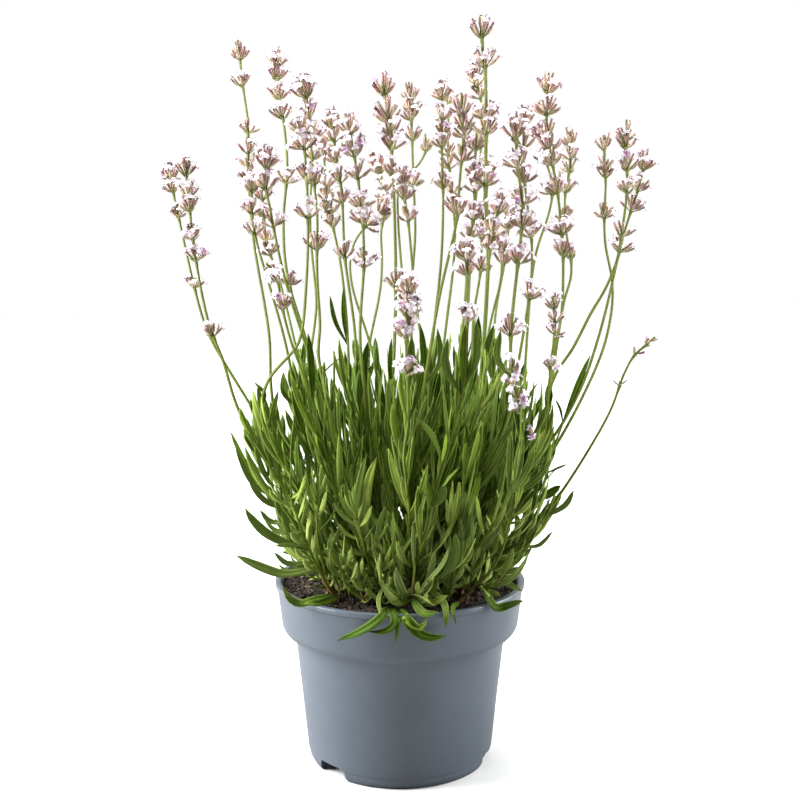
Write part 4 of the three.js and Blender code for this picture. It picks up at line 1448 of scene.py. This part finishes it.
# Flower spikes, by stem number: how large their whorls are, the share of cups with an open
# flower, and the share of olive cups among the mauve ones
SPIKES = {
    1: (1.0, 0.7, 0.2), 2: (1.05, 0.7, 0.2), 3: (1.05, 0.25, 0.3), 4: (1.05, 0.45, 0.4),
    5: (1.2, 0.5, 0.2), 6: (1.1, 0.45, 0.3), 7: (1.05, 0.4, 0.3), 8: (1.15, 0.55, 0.3),
    9: (1.35, 0.6, 0.1), 10: (1.2, 0.45, 0.3), 11: (1.1, 0.4, 0.3), 12: (1.1, 0.3, 0.6),
    13: (1.1, 0.25, 0.2), 14: (1.2, 0.35, 0.4), 15: (1.1, 0.35, 0.3), 16: (1.3, 0.35, 0.2),
    17: (1.1, 0.4, 0.3), 18: (1.1, 0.15, 0.5), 19: (0.9, 0.0, 1.0), 20: (1.1, 0.45, 0.4),
    21: (1.05, 0.5, 0.2), 22: (1.1, 0.35, 0.2), 23: (1.0, 0.25, 0.3), 24: (1.15, 0.2, 0.5),
    25: (1.05, 0.35, 0.2), 26: (1.3, 0.5, 0.4), 27: (1.1, 0.5, 0.2), 28: (1.15, 0.5, 0.2),
    29: (1.2, 0.6, 0.1), 30: (1.1, 0.5, 0.1), 31: (1.1, 0.5, 0.2), 32: (1.15, 0.55, 0.1),
    33: (1.35, 0.65, 0.1), 34: (1.3, 0.6, 0.3), 35: (1.2, 0.55, 0.2), 36: (1.25, 0.4, 0.3),
    37: (1.05, 0.2, 0.8), 38: (1.0, 0.1, 0.6), 39: (1.05, 0.1, 0.6), 40: (1.1, 0.25, 0.3),
    41: (0.55, 0.0, 0.7), 42: (0.8, 0.2, 0.5), 43: (0.78, 0.55, 0.2),
}

# Where the old flower below stem 43's spike is seen: its foot and its mouth, as x, z
HANGING_FLOWER = [(77, 202), (79.5, 192.5)]

# Outlines from the foot up, as shares: radius, height
CUP_OUTLINE = [(0.24, -0.36), (0.3, -0.04), (0.72, 0.2), (1.0, 0.5), (0.88, 0.8), (0.68, 1.0),
               (0.4216, 0.93)]
PETAL_OUTLINE = [(0.15, -0.5), (0.24, -0.08), (0.9, 0.06), (0.396, 0.06)]
PETAL_SIDES = 10
PETAL_MIDDLE = -0.04
BUD_OUTLINE = [(0.7, -0.3), (0.91, 0.3), (0.546, 0.75)]
BUD_SIDES = 5


def side_of(corner, sides):
    """Which side of a turned shape a corner stands at; the even ones are ribs or lobes."""
    return round(math.atan2(corner[1], corner[0]) / (2 * math.pi / sides))


def drawn_up(outline, sides, middle=None):
    """A small shape turned from its foot up, and closed flat or down to a middle."""
    turning = Turning(*outline[0], sides, size=1, filled=True)
    turning.draw_to(*outline[1:])
    if middle is None:
        turning.close_flat()
    else:
        turning.close_middle(middle)
    return turning.done()


def cup_model():
    """A flower cup as numbers: a toothed ribbed tube on a thin stalk, 1 long and 1 in radius."""
    cup = drawn_up(CUP_OUTLINE, CUP_SIDES)
    for corner in cup.data.vertices:
        rib = side_of(corner.co, CUP_SIDES) % 2 == 0
        if corner.co.z > 0.99:
            corner.co.z += 0.07 if rib else -0.03
        elif corner.co.z > 0.1 and corner.co.xy.length > 0.6 and not rib:
            corner.co.xy *= 0.88
    model = model_of(cup)
    high = model["corners"][:, 2]
    ribs = [side_of(c, CUP_SIDES) % 2 == 0 for c in model["corners"]]
    model["values"] = {"along": np.clip(high, 0, 1),
                       "ridge": np.where(ribs, 1.0, 0.0) * (high > 0.1)}
    return model


def petal_model():
    """An open flower as numbers: a short tube and five rounded lobes, about 1 in radius."""
    flower = drawn_up(PETAL_OUTLINE, PETAL_SIDES, PETAL_MIDDLE)
    for corner in flower.data.vertices:
        if corner.co.xy.length > 0.7:
            lobe = side_of(corner.co, PETAL_SIDES) % 2 == 0
            corner.co.xy *= 1.14 if lobe else 0.66
            corner.co.z += -0.16 if lobe else 0.12
    model = model_of(flower)
    out = np.hypot(model["corners"][:, 0], model["corners"][:, 1])
    model["values"] = {"along": np.clip((out - 0.1) / 0.6, 0, 1)}
    return model


def bud_model():
    """A bud or a withered flower as numbers: a small pointed drop, 1 long."""
    model = model_of(drawn_up(BUD_OUTLINE, BUD_SIDES))
    model["values"] = {"along": np.clip(model["corners"][:, 2], 0, 1) * 0.5}
    return model


CUP, PETALS, BUD = cup_model(), petal_model(), bud_model()
BRACT = {**LEAF, "uvs": None, "values": {}}


def stood(model, base, axis, spin, size, curl=0.0, upwards=UP):
    """A model's corners with its foot at base and its axis turned; curl bends it upwards."""
    helper = UP if abs(axis[2]) < 0.9 else np.array([1.0, 0, 0])
    x = unit(np.cross(helper, axis))
    y = np.cross(axis, x)
    c, s = math.cos(spin), math.sin(spin)
    x, y = x * c + y * s, y * c - x * s
    p = model["corners"] * size
    share = np.clip(model["corners"][:, 2:3], 0, 1)
    return base + p[:, 0:1] * x + p[:, 1:2] * y + p[:, 2:3] * axis \
        + upwards * curl * share * share


def add_whorl(heaps, shoot, far, top, spike, draw):
    """A whorl: cups round the stem, with buds or open flowers in them, over two bracts."""
    cups, petals = heaps
    large, open_share, olive = spike
    axis = shoot.along(far)
    low = shoot.at(far) - axis * WHORL_DROP
    helper = unit(np.cross(axis, [0.3, 1.0, 0.1]))
    other = np.cross(axis, helper)
    count = draw.randint(*CUP_COUNT) + (MORE_ON_TOP if top else 0)
    open_share *= draw.uniform(0.9, 2.0)
    spread_out = draw.uniform(0.78, 1.1) * (0.78 if top else 1.0)
    start = draw.uniform(0, 2 * math.pi)
    for k in range(round(count * min(1.25, max(0.6, large)))):
        layer = k % 3
        turn = start + k * 2 * math.pi * CUP_TURN + draw.uniform(-0.25, 0.25)
        lean = math.radians(CUP_LEANS[layer] + draw.uniform(-12, 12)) * spread_out
        out = helper * math.cos(turn) + other * math.sin(turn)
        way = unit(axis * math.cos(lean) + out * math.sin(lean))
        length = CUP_LENGTH * large * draw.uniform(0.8, 1.15)
        thick = CUP_RADIUS * draw.uniform(0.85, 1.15) * min(1.1, max(0.75, large))
        base = low + out * CUP_REACHES[layer] * large \
            + axis * (0.9 + 1.1 * layer + (1.4 if top else 0) * (layer == 2))
        spin = draw.uniform(0, math.pi)
        curl = draw.uniform(0.3, 1.3) * large
        corners = stood(CUP, base, way, spin, np.array([thick, thick, length]), curl, axis)
        tone = draw.uniform(0.86, 1) if draw.random() < olive else draw.uniform(0, 0.6)
        cups.add(CUP, corners, tone=tone)
        mouth = base + way * length + axis * curl
        tip_way = unit(way * length + axis * 2 * curl)
        if draw.random() < open_share:
            spread = draw.uniform(*OPEN_WIDTHS)
            tilt = unit(tip_way + out * draw.uniform(-0.2, 0.5) - np.array([0, 0.25, 0]))
            corners = stood(PETALS, mouth + tip_way * 1.1, tilt, spin, spread)
            petals.add(PETALS, corners,
                       tone=draw.uniform(0, 0.7) if draw.random() < 0.94 else 0.9)
        elif draw.random() < BUD_SHARE:
            size = np.array([thick * 0.72, thick * 0.72, draw.uniform(0.9, 2.2)])
            petals.add(BUD, stood(BUD, mouth, tip_way, spin, size), tone=1.0)
    for turn in (start, start + math.pi):
        out = helper * math.cos(turn) + other * math.sin(turn)
        long, wide = (size * large for size in BRACT_SIZE)
        midline = bent_line(low - axis * 0.4, unit(axis * 0.35 + out), unit(axis + out * 0.5),
                            long)
        corners = leaf_on(BRACT, midline, wide, unit(axis - out * 0.3))
        cups.add(BRACT, corners, tone=0.95, along=0.15, ridge=0.3)


def add_hanging_flower(heaps, shoot):
    """An old flower that hangs by its stalk from under the lowest whorl."""
    cups, petals = heaps
    foot = shoot.at(shoot.whorls[0] - 5)
    base, tip = (seen(x, z, foot[1] - 3) for x, z in HANGING_FLOWER)
    way = unit(tip - base)
    stalk = smooth_line(np.array([foot, (foot + base) / 2 + [1, 0, 0.5], base]), 1.5)
    towards = np.array([0, -1.0, 0.3])
    cups.add(BRACT, leaf_on(BRACT, stalk, 1.3, towards), tone=0.95, along=0, ridge=0)
    size = np.array([CUP_RADIUS, CUP_RADIUS, CUP_LENGTH])
    cups.add(CUP, stood(CUP, base, way, 0, size), tone=0.2)
    for far, turn, tone in ((0.2, 0.9, 0.2), (1.15, -0.3, 0.9), (1.5, 0.4, 0.1)):
        facing = unit(way + towards * turn)
        petals.add(PETALS, stood(PETALS, base + way * CUP_LENGTH * far, facing, turn, 2.5),
                   tone=tone)


def flower_spike(shoot):
    draw = random.Random(SEED * 1000 + shoot.index)
    heaps = (Heap(), Heap())
    spike = SPIKES[int(shoot.name[-2:])]
    for k, far in enumerate(shoot.whorls, 1):
        add_whorl(heaps, shoot, far, k == len(shoot.whorls), spike, draw)
    if shoot.name == "flower_stem_43":
        add_hanging_flower(heaps, shoot)
    for heap, finish in zip(heaps, ("cup", "petal")):
        if heap.faces:
            name = f"{shoot.name}_{finish}s"
            finish_piece(heap.build(name), name, finish, "flower_stem", shoot.node)


# ---- all together ----

make_camera()
make_studio()
make_pot()
make_soil()
make_crumbs()
make_crown()
give_known_leaves()
for shoot in SHOOTS:
    make_stem(shoot)
    dress_shoot(shoot)
    if shoot.whorls:
        flower_spike(shoot)
for shoot, (*_, bare) in zip(LOW, LOW_SHOOTS):
    make_stem(shoot)
    dress_low_shoot(shoot, bare)

deselect()
